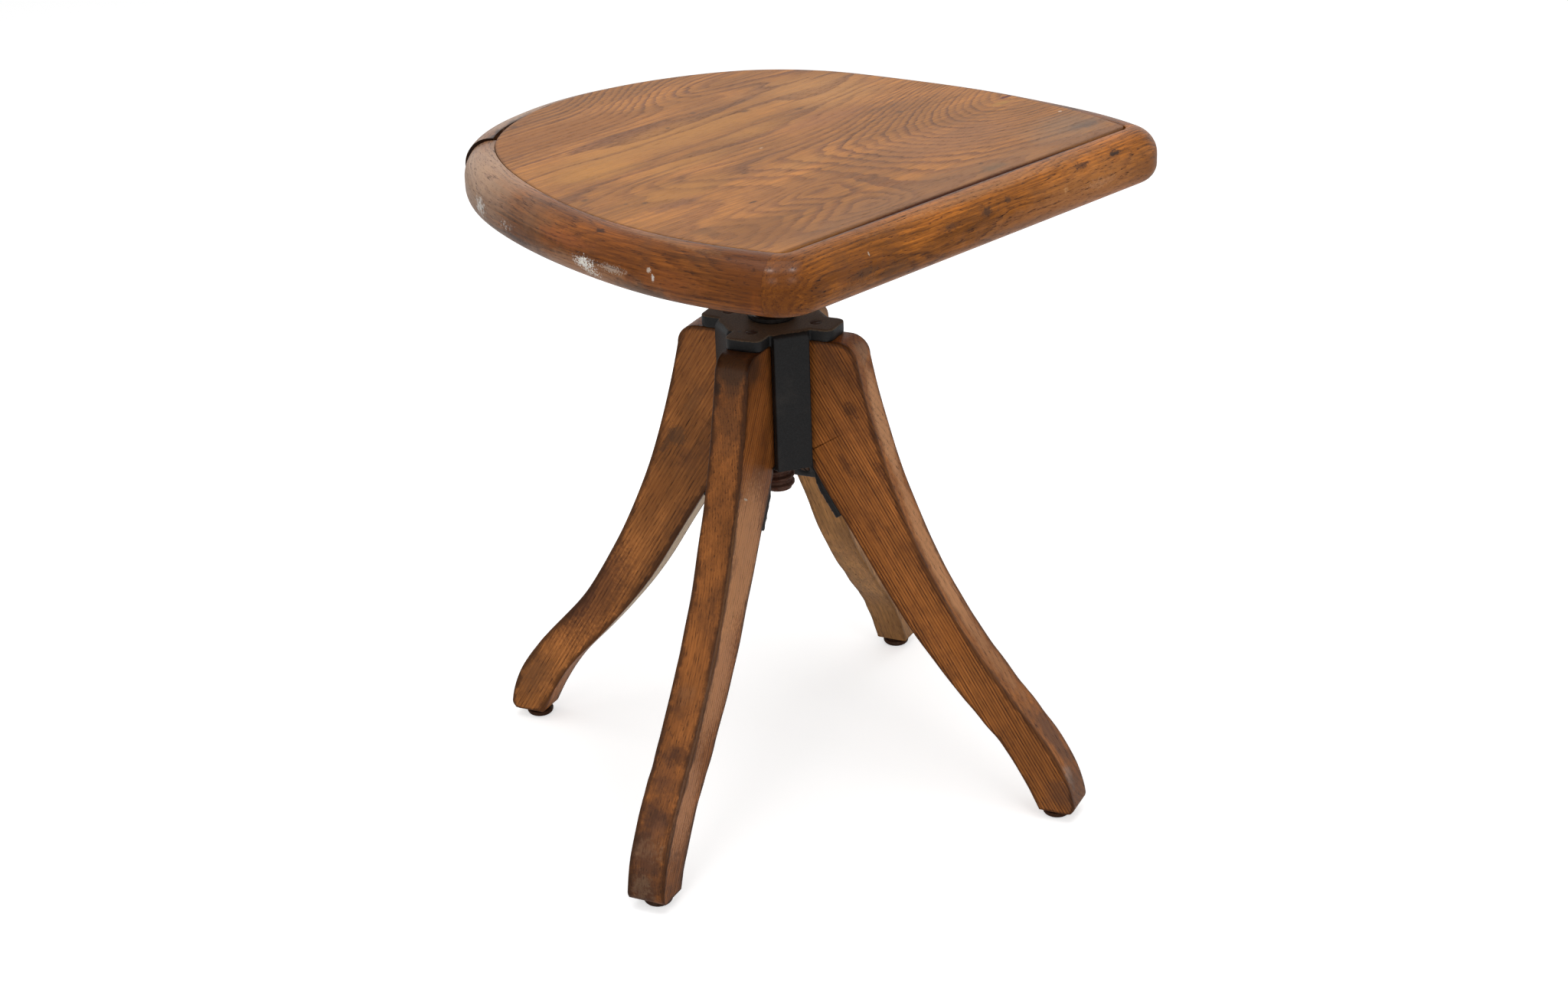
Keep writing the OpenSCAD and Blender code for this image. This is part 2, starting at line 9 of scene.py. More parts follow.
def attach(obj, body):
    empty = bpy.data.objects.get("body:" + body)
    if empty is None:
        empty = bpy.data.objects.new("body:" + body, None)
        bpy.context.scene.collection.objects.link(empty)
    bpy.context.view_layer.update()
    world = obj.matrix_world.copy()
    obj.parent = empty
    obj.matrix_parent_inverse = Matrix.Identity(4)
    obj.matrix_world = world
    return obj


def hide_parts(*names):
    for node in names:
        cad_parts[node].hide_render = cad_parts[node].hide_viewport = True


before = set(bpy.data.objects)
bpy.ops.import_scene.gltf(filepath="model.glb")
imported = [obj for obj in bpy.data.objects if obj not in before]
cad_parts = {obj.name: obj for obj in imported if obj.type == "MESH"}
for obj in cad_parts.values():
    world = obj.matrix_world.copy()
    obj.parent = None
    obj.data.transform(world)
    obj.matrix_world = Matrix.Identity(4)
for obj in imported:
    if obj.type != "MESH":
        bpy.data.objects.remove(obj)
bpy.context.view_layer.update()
MM = 0.001


# Camera
# It stands 1.7 m from the spindle, a little under a metre above the floor, looks down by 23 degrees and
# leans two degrees to one side.
CAMERA_RIGHT = (0.67724, -0.73507, -0.03203)
CAMERA_UP = (0.31214, 0.24763, 0.91720)
CAMERA_BACK = (-0.66627, -0.63116, 0.39715)
CAMERA_PLACE = (-1.24733, -1.18673, 0.95203)


def new_object(name, data):
    """Puts a new object with its data in the scene, at the origin."""
    made = bpy.data.objects.new(name, data)
    bpy.context.scene.collection.objects.link(made)
    return made


camera = new_object("camera", bpy.data.cameras.new("camera"))
camera.data.sensor_width = 36.0
camera.data.lens = 60.64
camera.data.clip_start = 0.02
rows = zip(CAMERA_RIGHT, CAMERA_UP, CAMERA_BACK, CAMERA_PLACE)
camera.matrix_world = Matrix((*rows, (0, 0, 0, 1)))
bpy.context.scene.camera = camera
bpy.context.scene.view_settings.view_transform = "Standard"


# Legs
# Four legs sawn from 25 mm oak board, with the grain running straight down each one, so that it runs
# out through the curved edges. Hands, feet and years have rubbed the arrises round and left them dark.
LEG_TURNS = {"leg_right": 18, "leg_back": 108, "leg_left": 198, "leg_front": 288}
LEG_T = 25.0
LEG_INNER_R = 19.2
LEG_TOP_Z = 339.0
SHOULDER = (68.0, 325.0)
SHOULDER_ROUND = 14.0
NOTCH = (33.0, 249.2)
HEEL = (201.0, 7.2)
TOE_CENTRE = (221.0, 13.2)
TOE_ROUND = 6.0
TOE_LOW_A = -58.0
OUTER_CURVE = ((68.0, 325.0), (118.88, 98.92), (215.87, 86.36), (227.0, 13.2))
INNER_CURVE = ((33.0, 245.0), (165.72, 29.0), (155.64, 96.2), (201.0, 7.2))
GRAIN_WAY = (0.53, -0.848)
ARRIS_ROUND = 1.1
ARRIS_WEAR = 1.3
ARRIS_LEAST = 0.5
ARRIS_MOST_SHARE = 0.3
ARRIS_NOISE = (0.05, 7.1, 3.3)
BOARDS_APART = 900.0
# The inner waist's swelling: how far it goes out, its height and half length, and then the height and
# half length of the place where a leg may be slimmer
WAIST_SWELL = (1.9, 138, 34)
SLIMMER_AT = (116, 26)
SECTION_CLOSEST = 0.25
TOE_CLOSEST = 0.005
TOE_RUN = 1.2

# The grain's noise is stretched along the board: scales per millimetre along, through and across it
WANDER_SCALE = (0.016, 0.13, 0.13)
FIBRE_SCALE = (0.014, 0.6, 0.6)
CLOUD_SCALE = (0.009, 0.022, 0.022)
PORE_SCALE = 1.7
PORE_STRETCH = 0.9
PORE_EDGE = (0.55, 0.68)
RING_OPENS = (0.0, 0.1)
RING_CLOSES = (0.12, 0.72)
YEARS_DIFFER = 0.55
FINE_RAGGED = 1.05
WEAR_FADES_RINGS = 0.65
DEEP_SHARE = 0.28
DENT_AMOUNT = 0.35
RINGS_THROUGH = 0.6
FIBRE_DULLS = 0.16
PORES_DULL = 0.25
FIBRE_HEIGHT, DENT_HEIGHT, PORE_HEIGHT = 0.35, -0.8, -1.0
# The arris dirt is as wide as the noise times the first of these plus the second, at a width of 1
ARRIS_RAGGED = (5.2, -1.6)
ARRIS_SCALE, DENT_SCALE, SMEAR_SCALE = 0.09, 0.32, 0.035


def feed(tree, inputs, values):
    """Gives each input its value, or links it to the socket that stands in for it."""
    for key, value in values.items():
        if isinstance(value, bpy.types.NodeSocket):
            tree.links.new(value, inputs[key])
        else:
            inputs[key].default_value = value


def put(tree, kind, inputs=None, **settings):
    """Adds a node of any kind with its settings and inputs, and gives its outputs."""
    made = tree.nodes.new(kind)
    for key, value in settings.items():
        setattr(made, key, value)
    feed(tree, made.inputs, inputs or {})
    return made.outputs


def add(tree, kind, inputs=None, **settings):
    """Adds a shader node, and gives its outputs."""
    return put(tree, "ShaderNode" + kind, inputs, **settings)


def calc(tree, operation, *values):
    """One step of arithmetic on numbers or sockets."""
    return add(tree, "Math", dict(enumerate(values)), operation=operation)[0]


def times(tree, first, second, more=None):
    """The product of two numbers or sockets, with more added to it."""
    if more is None:
        return calc(tree, "MULTIPLY", first, second)
    return calc(tree, "MULTIPLY_ADD", first, second, more)


def vector_calc(tree, operation, *values):
    """One step of arithmetic on vectors: gives a vector output and a number output."""
    return add(tree, "VectorMath", dict(enumerate(values)), operation=operation)


def scaled(tree, vector, factors):
    """A vector socket times factors along its three axes."""
    return vector_calc(tree, "MULTIPLY", vector, factors)[0]


def cloudy(tree, vector, detail=3.0, roughness=0.55, scale=1.0):
    """Soft noise from 0 to 1 at a vector."""
    return add(tree, "TexNoise", {"Vector": vector, "Scale": scale, "Detail": detail,
                                  "Roughness": roughness})[0]


def fade(tree, value, start, end, low=0.0, high=1.0):
    """A smooth step from low at start to high at end."""
    return add(tree, "MapRange", {"Value": value, "From Min": start, "From Max": end, "To Min": low,
                                  "To Max": high}, interpolation_type="SMOOTHSTEP")[0]


def blended(tree, amount, first, second, way="MIX"):
    """Mixes two colours."""
    return add(tree, "Mix", {0: amount, 6: first, 7: second}, data_type="RGBA", blend_type=way)[2]


def toned(tree, colour, level):
    """A colour made darker or lighter by a level."""
    grey = add(tree, "CombineColor", {0: level, 1: level, 2: level})[0]
    return blended(tree, 1.0, colour, grey, "MULTIPLY")


def shader_group(name, inputs, outputs):
    """A new shader group with the inputs {name: default} and float outputs."""
    group = bpy.data.node_groups.new(name, "ShaderNodeTree")
    for label, default in inputs.items():
        kind = "NodeSocketVector" if isinstance(default, tuple) else "NodeSocketFloat"
        group.interface.new_socket(label, in_out="INPUT", socket_type=kind).default_value = default
    for label in outputs:
        group.interface.new_socket(label, in_out="OUTPUT", socket_type="NodeSocketFloat")
    return group, put(group, "NodeGroupInput"), group.nodes.new("NodeGroupOutput").inputs


def oak_grain_group():
    """Growth rings, open pores, fibre streaks and slow changes of tone, in the board's millimetres."""
    group, given, wanted = shader_group(
        "oak_grain", {"Grain": (0.0, 0.0, 0.0), "Growth": 0.0, "Wander": 0.5, "Pore length": 8.0},
        ["Ring", "Pores", "Fibre", "Clouds"])
    grain = given["Grain"]
    wander = cloudy(group, scaled(group, grain, WANDER_SCALE), 4.0, 0.6)
    growth = times(group, calc(group, "SUBTRACT", wander, 0.5), given["Wander"], given["Growth"])
    part = calc(group, "FRACT", growth)
    year = add(group, "TexWhiteNoise", {"W": calc(group, "FLOOR", growth)}, noise_dimensions="1D")[0]
    ring = times(group, fade(group, part, *RING_OPENS), fade(group, part, *RING_CLOSES, 1.0, 0.0))
    ring = times(group, ring, times(group, year, YEARS_DIFFER, 1.0 - YEARS_DIFFER))
    along = calc(group, "DIVIDE", PORE_STRETCH, given["Pore length"])
    stretch = add(group, "CombineXYZ", {0: along, 1: PORE_SCALE, 2: PORE_SCALE})[0]
    pores = fade(group, cloudy(group, scaled(group, grain, stretch), 1.5, 0.5), *PORE_EDGE)
    feed(group, wanted, {
        "Ring": ring, "Pores": times(group, pores, times(group, ring, 0.75, 0.3)),
        "Fibre": cloudy(group, scaled(group, grain, FIBRE_SCALE), 5.0, 0.68),
        "Clouds": cloudy(group, scaled(group, grain, CLOUD_SCALE), 3.0, 0.6)})
    return group


def mark_group():
    """A stain, chip or dent, or a patch of painted light, at one place: how much of it covers each point."""
    group, given, wanted = shader_group(
        "mark", {"Place": (0.0, 0.0, 0.0), "Centre": (0.0, 0.0, 0.0), "Reach": (1.0, 1.0, 1.0),
                 "Softness": 0.5, "Raggedness": 0.5, "Coarseness": 0.2, "Amount": 1.0}, ["Mask"])
    away = vector_calc(group, "SUBTRACT", given["Place"], given["Centre"])[0]
    away = vector_calc(group, "DIVIDE", away, given["Reach"])[0]
    away = vector_calc(group, "LENGTH", away)[1]
    torn = cloudy(group, given["Place"], 4.0, 0.65, given["Coarseness"])
    torn = times(group, calc(group, "SUBTRACT", torn, 0.5), given["Raggedness"])
    away = times(group, torn, 2.0, away)
    mask = fade(group, away, calc(group, "SUBTRACT", 1.0, given["Softness"]), 1.0, 1.0, 0.0)
    feed(group, wanted, {"Mask": times(group, mask, given["Amount"])})
    return group


def grime_group():
    """Dirt that darkens the arrises and lies in small dents over the faces. Where a face counts as arris all
    over, as the ends at the rim's open joints do, the arris darkening is painted shade.
    """
    group, given, wanted = shader_group(
        "grime", {"Place": (0.0, 0.0, 0.0), "Edge": 100.0, "Width": 3.0}, ["Arris", "Dents", "Smears"])
    spot = given["Place"]
    reach = times(group, cloudy(group, spot, 4.0, 0.6, ARRIS_SCALE), *ARRIS_RAGGED)
    reach = times(group, given["Width"], reach)
    near = calc(group, "DIVIDE", given["Edge"], calc(group, "MAXIMUM", reach, 0.2))
    feed(group, wanted, {
        "Arris": fade(group, near, 0.0, 1.5, 1.0, 0.0),
        "Dents": fade(group, cloudy(group, spot, 3.0, 0.6, DENT_SCALE), 0.66, 0.74),
        "Smears": fade(group, cloudy(group, spot, 5.0, 0.7, SMEAR_SCALE), 0.46, 0.72)})
    return group


OAK_GRAIN = oak_grain_group()
MARK = mark_group()
GRIME = grime_group()


def rgb(red, green, blue):
    """A base colour from thousandths, in the linear values that the shader's socket takes."""
    return (red / 1000, green / 1000, blue / 1000, 1.0)


WHITE = rgb(1000, 1000, 1000)


def new_material(name):
    """A material, its node tree and its Principled shader."""
    material = bpy.data.materials.new(name)
    material.use_nodes = True
    return material, material.node_tree, material.node_tree.nodes["Principled BSDF"]


def own_millimetres(tree):
    """The place on the object, in millimetres."""
    return scaled(tree, add(tree, "TexCoord")["Object"], (1 / MM, 1 / MM, 1 / MM))


def oak(name, light, dark, smear, marks, *, ring, pores, arris, arris_width, smears, clouds, on_grain=False,
        wander=0.5, pore_length=8.0, roughness=0.4, streaks=0.25, sheen=0.08, shine=0.1):
    """Old stained and waxed oak. Each mark is (centre, reach, softness, raggedness, colour, amount)."""
    material, tree, finish = new_material(name)
    grain = add(tree, "Attribute", attribute_name="grain")["Vector"]
    growth, edge, rubbed = (add(tree, "Attribute", attribute_name=label)["Fac"]
                            for label in ("growth", "edge", "rubbed"))
    spot = own_millimetres(tree)
    wood = add(tree, "Group", {"Grain": grain, "Growth": growth, "Wander": wander,
                               "Pore length": pore_length}, node_tree=OAK_GRAIN)
    dirt = add(tree, "Group", {"Place": spot, "Edge": edge, "Width": arris_width}, node_tree=GRIME)

    lines = times(tree, wood["Ring"], times(tree, rubbed, -WEAR_FADES_RINGS * ring, ring))
    colour = blended(tree, lines, rgb(*light), rgb(*dark))
    for tone, start, end, amount in (("Fibre", 0.3, 0.72, streaks), ("Clouds", 0.36, 0.66, clouds)):
        level = fade(tree, wood[tone], start, end, 1.0 - 1.1 * amount, 1.0 + 0.9 * amount)
        colour = toned(tree, colour, level)
    colour = blended(tree, times(tree, dirt["Smears"], smears), colour, rgb(*smear))
    plain = colour
    for centre, reach, softness, raggedness, shade, amount in marks:
        mask = add(tree, "Group", {
            "Place": grain if on_grain else spot, "Centre": centre, "Reach": reach, "Softness": softness,
            "Raggedness": raggedness, "Amount": amount,
            "Coarseness": (3.0 if raggedness > FINE_RAGGED else 1.3) / max(min(reach), 3.0),
        }, node_tree=MARK)["Mask"]
        colour = blended(tree, mask, colour, rgb(*shade))
    # The growth rings show through the marks
    darker = blended(tree, times(tree, lines, RINGS_THROUGH), WHITE, rgb(500, 420, 500))
    covered = vector_calc(tree, "LENGTH", blended(tree, 1.0, colour, plain, "DIFFERENCE"))[1]
    through = blended(tree, 1.0, colour, darker, "MULTIPLY")
    colour = blended(tree, fade(tree, covered, 0.0, 0.12), colour, through)
    pore_mask = times(tree, wood["Pores"], pores)
    deep = rgb(*(DEEP_SHARE * part for part in dark))
    for mask in (pore_mask, times(tree, dirt["Dents"], DENT_AMOUNT), times(tree, dirt["Arris"], arris)):
        colour = blended(tree, mask, colour, deep)

    dull = times(tree, wood["Fibre"], FIBRE_DULLS, roughness - FIBRE_DULLS / 2)
    height = times(tree, wood["Fibre"], FIBRE_HEIGHT, times(tree, pore_mask, PORE_HEIGHT))
    height = times(tree, dirt["Dents"], DENT_HEIGHT, height)
    bump = add(tree, "Bump", {"Height": height, "Strength": 0.6, "Distance": 0.4 * MM})[0]
    feed(tree, finish.inputs, {
        "Base Color": colour, "Roughness": times(tree, pore_mask, PORES_DULL, dull), "Normal": bump,
        "Specular IOR Level": shine, "Coat Weight": sheen, "Coat Roughness": 0.2})
    return material


def finish_mesh(mesh, material, sharp=38.0):
    """Closes a mesh, turns its faces outwards, smooths all but its sharp edges and gives its material."""
    loose = bmesh.new()
    loose.from_mesh(mesh)
    bmesh.ops.remove_doubles(loose, verts=loose.verts, dist=0.002 * MM)
    bmesh.ops.dissolve_degenerate(loose, edges=loose.edges, dist=0.0001 * MM)
    bmesh.ops.holes_fill(loose, edges=loose.edges, sides=4)
    bmesh.ops.recalc_face_normals(loose, faces=loose.faces)
    loose.to_mesh(mesh)
    loose.free()
    mesh.materials.clear()
    mesh.materials.append(material)
    mesh.shade_smooth()
    mesh.set_sharp_from_angle(angle=math.radians(sharp))


def new_piece(name, points, faces, material, extras=None, sharp=38.0):
    """A mesh object at the origin from points in millimetres, with its named point attributes."""
    mesh = bpy.data.meshes.new(name)
    mesh.from_pydata((np.asarray(points, dtype=float) * MM).tolist(), [], faces)
    for label, values in (extras or {}).items():
        values = np.asarray(values, dtype=np.float32)
        kind, slot = ("FLOAT_VECTOR", "vector") if values.ndim == 2 else ("FLOAT", "value")
        mesh.attributes.new(label, kind, "POINT").data.foreach_set(slot, values.ravel())
    made = new_object(name, mesh)
    finish_mesh(mesh, material, sharp)
    return made


def fit(piece, body, slot, *nodes):
    """The piece moves with its body and stands for its CAD nodes; its slot is not used."""
    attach(piece, body)
    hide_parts(*nodes)


def straight(start, end, steps):
    """Points on a line, with both ends."""
    share = np.linspace(0.0, 1.0, steps)[:, None]
    return np.asarray(start) * (1 - share) + np.asarray(end) * share


def on_bezier(corners, shares):
    """Points on a cubic curve."""
    a, b, c, d = (np.asarray(corner) for corner in corners)
    t = np.asarray(shares)[:, None]
    return (1 - t) ** 3 * a + 3 * (1 - t) ** 2 * t * b + 3 * (1 - t) * t ** 2 * c + t ** 3 * d


def on_arc(centre, radius, start, end, steps):
    """Points on an arc, between two angles in degrees."""
    turn = np.radians(np.linspace(start, end, steps))
    return np.asarray(centre) + radius * np.stack([np.cos(turn), np.sin(turn)], axis=1)


def smooth_step(values, start, end):
    """Rises smoothly from 0 at start to 1 at end."""
    share = np.clip((values - start) / (end - start), 0, 1)
    return share * share * (3 - 2 * share)


def turned_by(x, y, degrees):
    """Coordinates turned round an upright axis at the origin."""
    a = math.radians(degrees)
    return x * math.cos(a) - y * math.sin(a), x * math.sin(a) + y * math.cos(a)


def leg_edges():
    """The leg's outer and inner edge as matching points, from the top inner corner to the toe."""
    corner = (LEG_INNER_R, LEG_TOP_Z)
    shoulder_centre = (SHOULDER[0] - SHOULDER_ROUND, SHOULDER[1])
    along_curve = np.linspace(0, 1, 150)
    outer = np.concatenate([
        straight(corner, (shoulder_centre[0], LEG_TOP_Z), 12),
        on_arc(shoulder_centre, SHOULDER_ROUND, 90, 0, 15)[1:],
        on_bezier(OUTER_CURVE, along_curve)[1:], on_arc(TOE_CENTRE, TOE_ROUND, 0, TOE_LOW_A, 8)[1:]])
    inner = np.concatenate([
        straight(corner, (LEG_INNER_R, NOTCH[1]), 24), straight((LEG_INNER_R, NOTCH[1]), NOTCH, 4)[1:],
        on_bezier(INNER_CURVE, along_curve),
        straight(HEEL, (TOE_CENTRE[0], TOE_CENTRE[1] - TOE_ROUND), 12)[1:],
        on_arc(TOE_CENTRE, TOE_ROUND, -90, TOE_LOW_A, 5)[1:]])
    outer_run, inner_run = outer @ GRAIN_WAY, inner @ GRAIN_WAY
    runs = np.unique(np.round(np.concatenate([outer_run, inner_run]), 2))
    closest = np.where(runs[1:] > runs[-1] - TOE_RUN, TOE_CLOSEST, SECTION_CLOSEST)
    runs = runs[np.concatenate([[True], np.diff(runs) > closest])]
    return (np.stack([np.interp(runs, run, line[:, axis]) for axis in (0, 1)], axis=1)
            for run, line in ((outer_run, outer), (inner_run, inner)))


def outward(points, side):
    """Unit vectors square to a line of points, to its left (1) or right (-1)."""
    way = np.gradient(points, axis=0)
    way /= np.maximum(np.linalg.norm(way, axis=1, keepdims=True), 1e-9)
    return side * np.stack([-way[:, 1], way[:, 0]], axis=1)


def leg_mesh(seed, slimmer):
    """The leg in its own frame (out from the spindle, across the board, up), as rings along it."""
    outer, inner = leg_edges()
    outer_way, inner_way = outward(outer, 1), outward(inner, -1)
    swell, at_z, length = WAIST_SWELL
    inner = inner + swell * np.exp(-((inner[:, 1:] - at_z) / length) ** 2) * inner_way
    at_z, length = SLIMMER_AT
    outer = outer - slimmer * np.exp(-((outer[:, 1:] - at_z) / length) ** 2) * outer_way
    face_shares = np.array([0, 0.04, 0.1, 0.2, 0.32, 0.44, 0.56, 0.68, 0.8, 0.9, 0.96, 1])
    edge_shares = np.array([0, 0.07, 0.18, 0.34, 0.5, 0.66, 0.82, 0.93, 1])
    bend = np.radians([22.5, 45, 67.5])
    half = LEG_T / 2
    corners = [(outer, outer_way, 1), (inner, inner_way, 1), (inner, inner_way, -1), (outer, outer_way, -1)]
    points, edge, rubbed = [], [], []
    for i in range(len(outer)):
        span = np.linalg.norm(outer[i] - inner[i])
        worn = [noise.noise(Vector(ARRIS_NOISE) * Vector((i, k, seed))) for k in range(4)]
        worn = [min(max(ARRIS_ROUND + ARRIS_WEAR * w, ARRIS_LEAST), ARRIS_MOST_SHARE * span) for w in worn]
        for k, (line, way, side) in enumerate(corners):
            then_line, then_way, then_side = corners[(k + 1) % 4]
            w, then_w = worn[k], worn[(k + 1) % 4]
            centre = line[i] - w * way[i]
            for turn in bend if k % 2 else bend[::-1]:
                out, across = np.sin(turn) * w, np.cos(turn) * w
                points.append((*(centre + out * way[i]), side * (half - w + across)))
                edge.append(0.0)
                rubbed.append(0.5)
            if k % 2 == 0:
                end = then_line[i] - then_w * then_way[i]
                for share in face_shares:
                    points.append((*(centre * (1 - share) + end * share), side * half))
                    edge.append(min(share, 1 - share) * span)
                    rubbed.append(0.0)
            else:
                for share in edge_shares:
                    level = side * (half - w) * (1 - share) + then_side * (half - then_w) * share
                    points.append((*line[i], level))
                    edge.append(min(share, 1 - share) * LEG_T)
                    rubbed.append(1.0)
    return np.array(points)[:, (0, 2, 1)], np.array(edge), np.array(rubbed), len(outer)


def loft_faces(sections, ring, caps=False):
    """Faces between rings of points, with a lid on each end when it is open."""
    faces = [(s * ring + p, s * ring + (p + 1) % ring, (s + 1) * ring + (p + 1) % ring, (s + 1) * ring + p)
             for s in range(sections - 1) for p in range(ring)]
    if caps:
        faces += [tuple(range(ring)), tuple(range((sections - 1) * ring, sections * ring))]
    return faces


# Each leg's board: (growth tilt in degrees, ring spacing in mm, light, dark and smear colours in linear
# thousandths, how strong the rings, the clouds and the dark arrises are)
LEG_BOARDS = {
    "leg_front": (20, 2.1, (410, 142, 32), (85, 25, 7), (110, 38, 14), 0.95, 0.18, 0.65),
    "leg_left": (58, 1.7, (300, 102, 24), (95, 31, 9), (90, 33, 14), 0.8, 0.28, 0.8),
    "leg_back": (26, 2.3, (430, 156, 38), (150, 52, 16), (120, 46, 20), 0.6, 0.34, 0.75),
    "leg_right": (44, 2.4, (520, 250, 82), (300, 135, 48), (260, 125, 55), 0.5, 0.2, 0.4),
}


def leg_spot(out, across, up, seed):
    """A place on a leg, in its board's own millimetres along, through and across the grain."""
    return (out * GRAIN_WAY[0] + up * GRAIN_WAY[1] + BOARDS_APART * seed,
            out * -GRAIN_WAY[1] + up * GRAIN_WAY[0], across)


# Each leg's stains and scars, and a few washes of painted light from the floor: (out, across, up, reach
# along and through the grain and across the board, softness, raggedness, colour in linear thousandths,
# amount)
LEG_MARKS_AND_LIGHT = {
    "leg_left": (
        (72, 0, 300, (40, 16, 15), 0.8, 0.6, (130, 52, 20), 0.55),
        (60, 0, 332, (24, 26, 20), 0.6, 0.45, (75, 36, 18), 0.92),
        (68, -10, 320, (9, 4, 4), 0.5, 1, (40, 22, 12), 0.85),
        (70, -11, 308, (9, 4, 3), 0.6, 0.8, (300, 140, 60), 0.5),
        (226, -4, 8, (145, 60, 21), 0.75, 0.9, (72, 30, 16), 0.92),
        (218, -3, 44, (9, 14, 18), 0.9, 1.6, (330, 185, 100), 0.36),
        (226, -3, 20, (12, 14, 12), 0.9, 1.6, (250, 150, 85), 0.4),
        (190, -2, 84, (18, 16, 14), 0.8, 1, (170, 62, 24), 0.45),
        (218, -2, 40, (16, 14, 12), 0.8, 1, (150, 60, 28), 0.45),
        # painted light: a pale wash on the side face where the white floor lights it
        (140, 12.5, 138, (62, 40, 1.6), 0.5, 0.3, (620, 285, 125), 0.85),
        # painted light: a pale wash on the side face where the white floor lights it
        (190, 12.5, 72, (56, 30, 1.6), 0.6, 0.4, (600, 275, 125), 0.78),
        (151, -3, 128, (9, 16, 9), 0.8, 0.9, (300, 120, 42), 0.55),
        (178, 3, 96, (10, 14, 10), 0.6, 1, (50, 18, 9), 0.6),
        (213, 2, 58, (14, 12, 7), 0.7, 1, (200, 80, 36), 0.5),
        (118, 4, 183, (16, 8, 5), 0.7, 1, (80, 30, 12), 0.5),
        # painted light: a pale wash on the side face where the white floor lights it
        (92, 12.5, 202, (72, 40, 1.6), 0.5, 0.3, (700, 320, 125), 0.8),
        (168, 12.5, 92, (20, 9, 1.6), 0.8, 0.9, (300, 130, 55), 0.2),
        (78, 12.5, 244, (1, 4.4, 1.6), 0.5, 0.5, (620, 520, 400), 0.9),
        (98, 12.5, 205, (7, 7, 2), 0.8, 1, (250, 100, 40), 0.5),
        (150, 12.5, 130, (34, 10, 2), 0.7, 0.9, (350, 165, 75), 0.55),
        (60, 12.5, 330, (15, 12, 4), 0.7, 0.5, (70, 32, 16), 0.7),
    ),
    "leg_back": (
        (72, 12.5, 254, (9, 9, 3), 0.35, 1, (140, 66, 28), 0.6),
        (80, 12.5, 249, (14, 3, 3), 0.4, 1, (110, 50, 22), 0.6),
        (58, 12.5, 282, (20, 7, 3), 0.8, 1, (200, 85, 30), 0.5),
        (114, 12.5, 192, (12, 6, 7), 0.6, 1, (75, 30, 15), 0.6),
        (160, 12.5, 110, (30, 11, 5), 0.6, 1, (60, 25, 14), 0.7),
        (92, 12.5, 208, (30, 12, 3), 0.8, 0.7, (330, 115, 26), 0.6),
        (205, 12.5, 40, (30, 20, 6), 0.8, 0.8, (200, 82, 30), 0.6),
        # painted light: the pale inner edge face, lit by the white floor
        (95, 0, 135, (175, 27, 12.4), 0.3, 0.25, (800, 620, 420), 0.95),
        (150, 12.5, 118, (70, 30, 4), 0.7, 0.8, (120, 42, 17), 0.62),
    ),
    "leg_front": (
        (46, -12.5, 330, (26, 10, 4), 0.8, 0.7, (130, 48, 16), 0.6),
        (63, -12.5, 292, (9, 6, 3), 0.7, 1, (60, 24, 11), 0.6),
        (84, -12.5, 250, (10, 4, 3), 0.7, 1, (80, 30, 13), 0.55),
        (58, -12.5, 250, (12, 4, 3), 0.7, 1, (90, 34, 14), 0.5),
        (137, -12.5, 130, (30, 12, 3), 0.9, 0.6, (420, 140, 28), 0.55),
        (222, -5, 34, (12, 9, 7), 0.6, 1, (300, 215, 165), 0.7),
        (226, 0, 18, (30, 24, 26), 0.7, 0.7, (85, 42, 26), 0.65),
        (84, 2, 275, (88, 18, 11), 0.5, 0.3, (680, 330, 145), 0.88),
        (122, 2, 182, (88, 18, 11), 0.5, 0.3, (640, 300, 125), 0.84),
        (160, 2, 114, (60, 18, 11), 0.7, 0.7, (440, 195, 76), 0.65),
        (204, 3, 60, (40, 18, 14), 0.7, 0.8, (140, 58, 26), 0.88),
        (64, 2, 330, (12, 16, 12), 0.7, 0.7, (330, 200, 110), 0.5),
    ),
    "leg_right": (
        (120, 6, 130, (70, 14, 10), 0.8, 0.6, (480, 270, 115), 0.5),
        (215, 0, 20, (28, 24, 20), 0.7, 0.7, (230, 120, 55), 0.6),
    ),
}
# How much wider two of the boards are towards the foot, on their - and + sides, and the heights between
# which each half of that sets in
LEG_WIDER = {"leg_left": (0.16, 0.05), "leg_front": (0.0, 0.13)}
WIDER_Z = ((244, 205), (205, 90))
LEG_SLIMMER = {"leg_back": 2.0}
ARRIS_WIDTH = {"leg_front": 1.9}
for seed, (name, turn) in enumerate(LEG_TURNS.items()):
    tilt, spacing, light, dark, smear, ring, clouds, arris = LEG_BOARDS[name]
    own, edge, rubbed, sections = leg_mesh(seed, LEG_SLIMMER.get(name, 0.0))
    wider = np.where(own[:, 1] < 0, *LEG_WIDER.get(name, (0.0, 0.0)))
    own[:, 1] *= 1 + wider * sum(0.5 * smooth_step(own[:, 2], *ends) for ends in WIDER_Z)
    board = np.array(leg_spot(own[:, 0], own[:, 1], own[:, 2], seed)).T
    lean = math.radians(tilt)
    growth = (board[:, 1] * math.cos(lean) + board[:, 2] * math.sin(lean)) / spacing + 40 * seed
    points = np.column_stack([*turned_by(own[:, 0], own[:, 1], turn), own[:, 2]])
    marks = [(leg_spot(out, across, up, seed), *mark_details) for out, across, up, *mark_details in LEG_MARKS_AND_LIGHT[name]]
    material = oak(name + "_oak", light, dark, smear, marks, ring=ring, pores=0.9, arris=arris,
                   arris_width=ARRIS_WIDTH.get(name, 2.8), smears=0.5, clouds=clouds, on_grain=True)
    leg = new_piece(name + "_board", points, loft_faces(sections, len(own) // sections), material,
                    {"grain": board, "growth": growth, "edge": edge, "rubbed": rubbed})
    fit(leg, "base", "leg_oak", name)


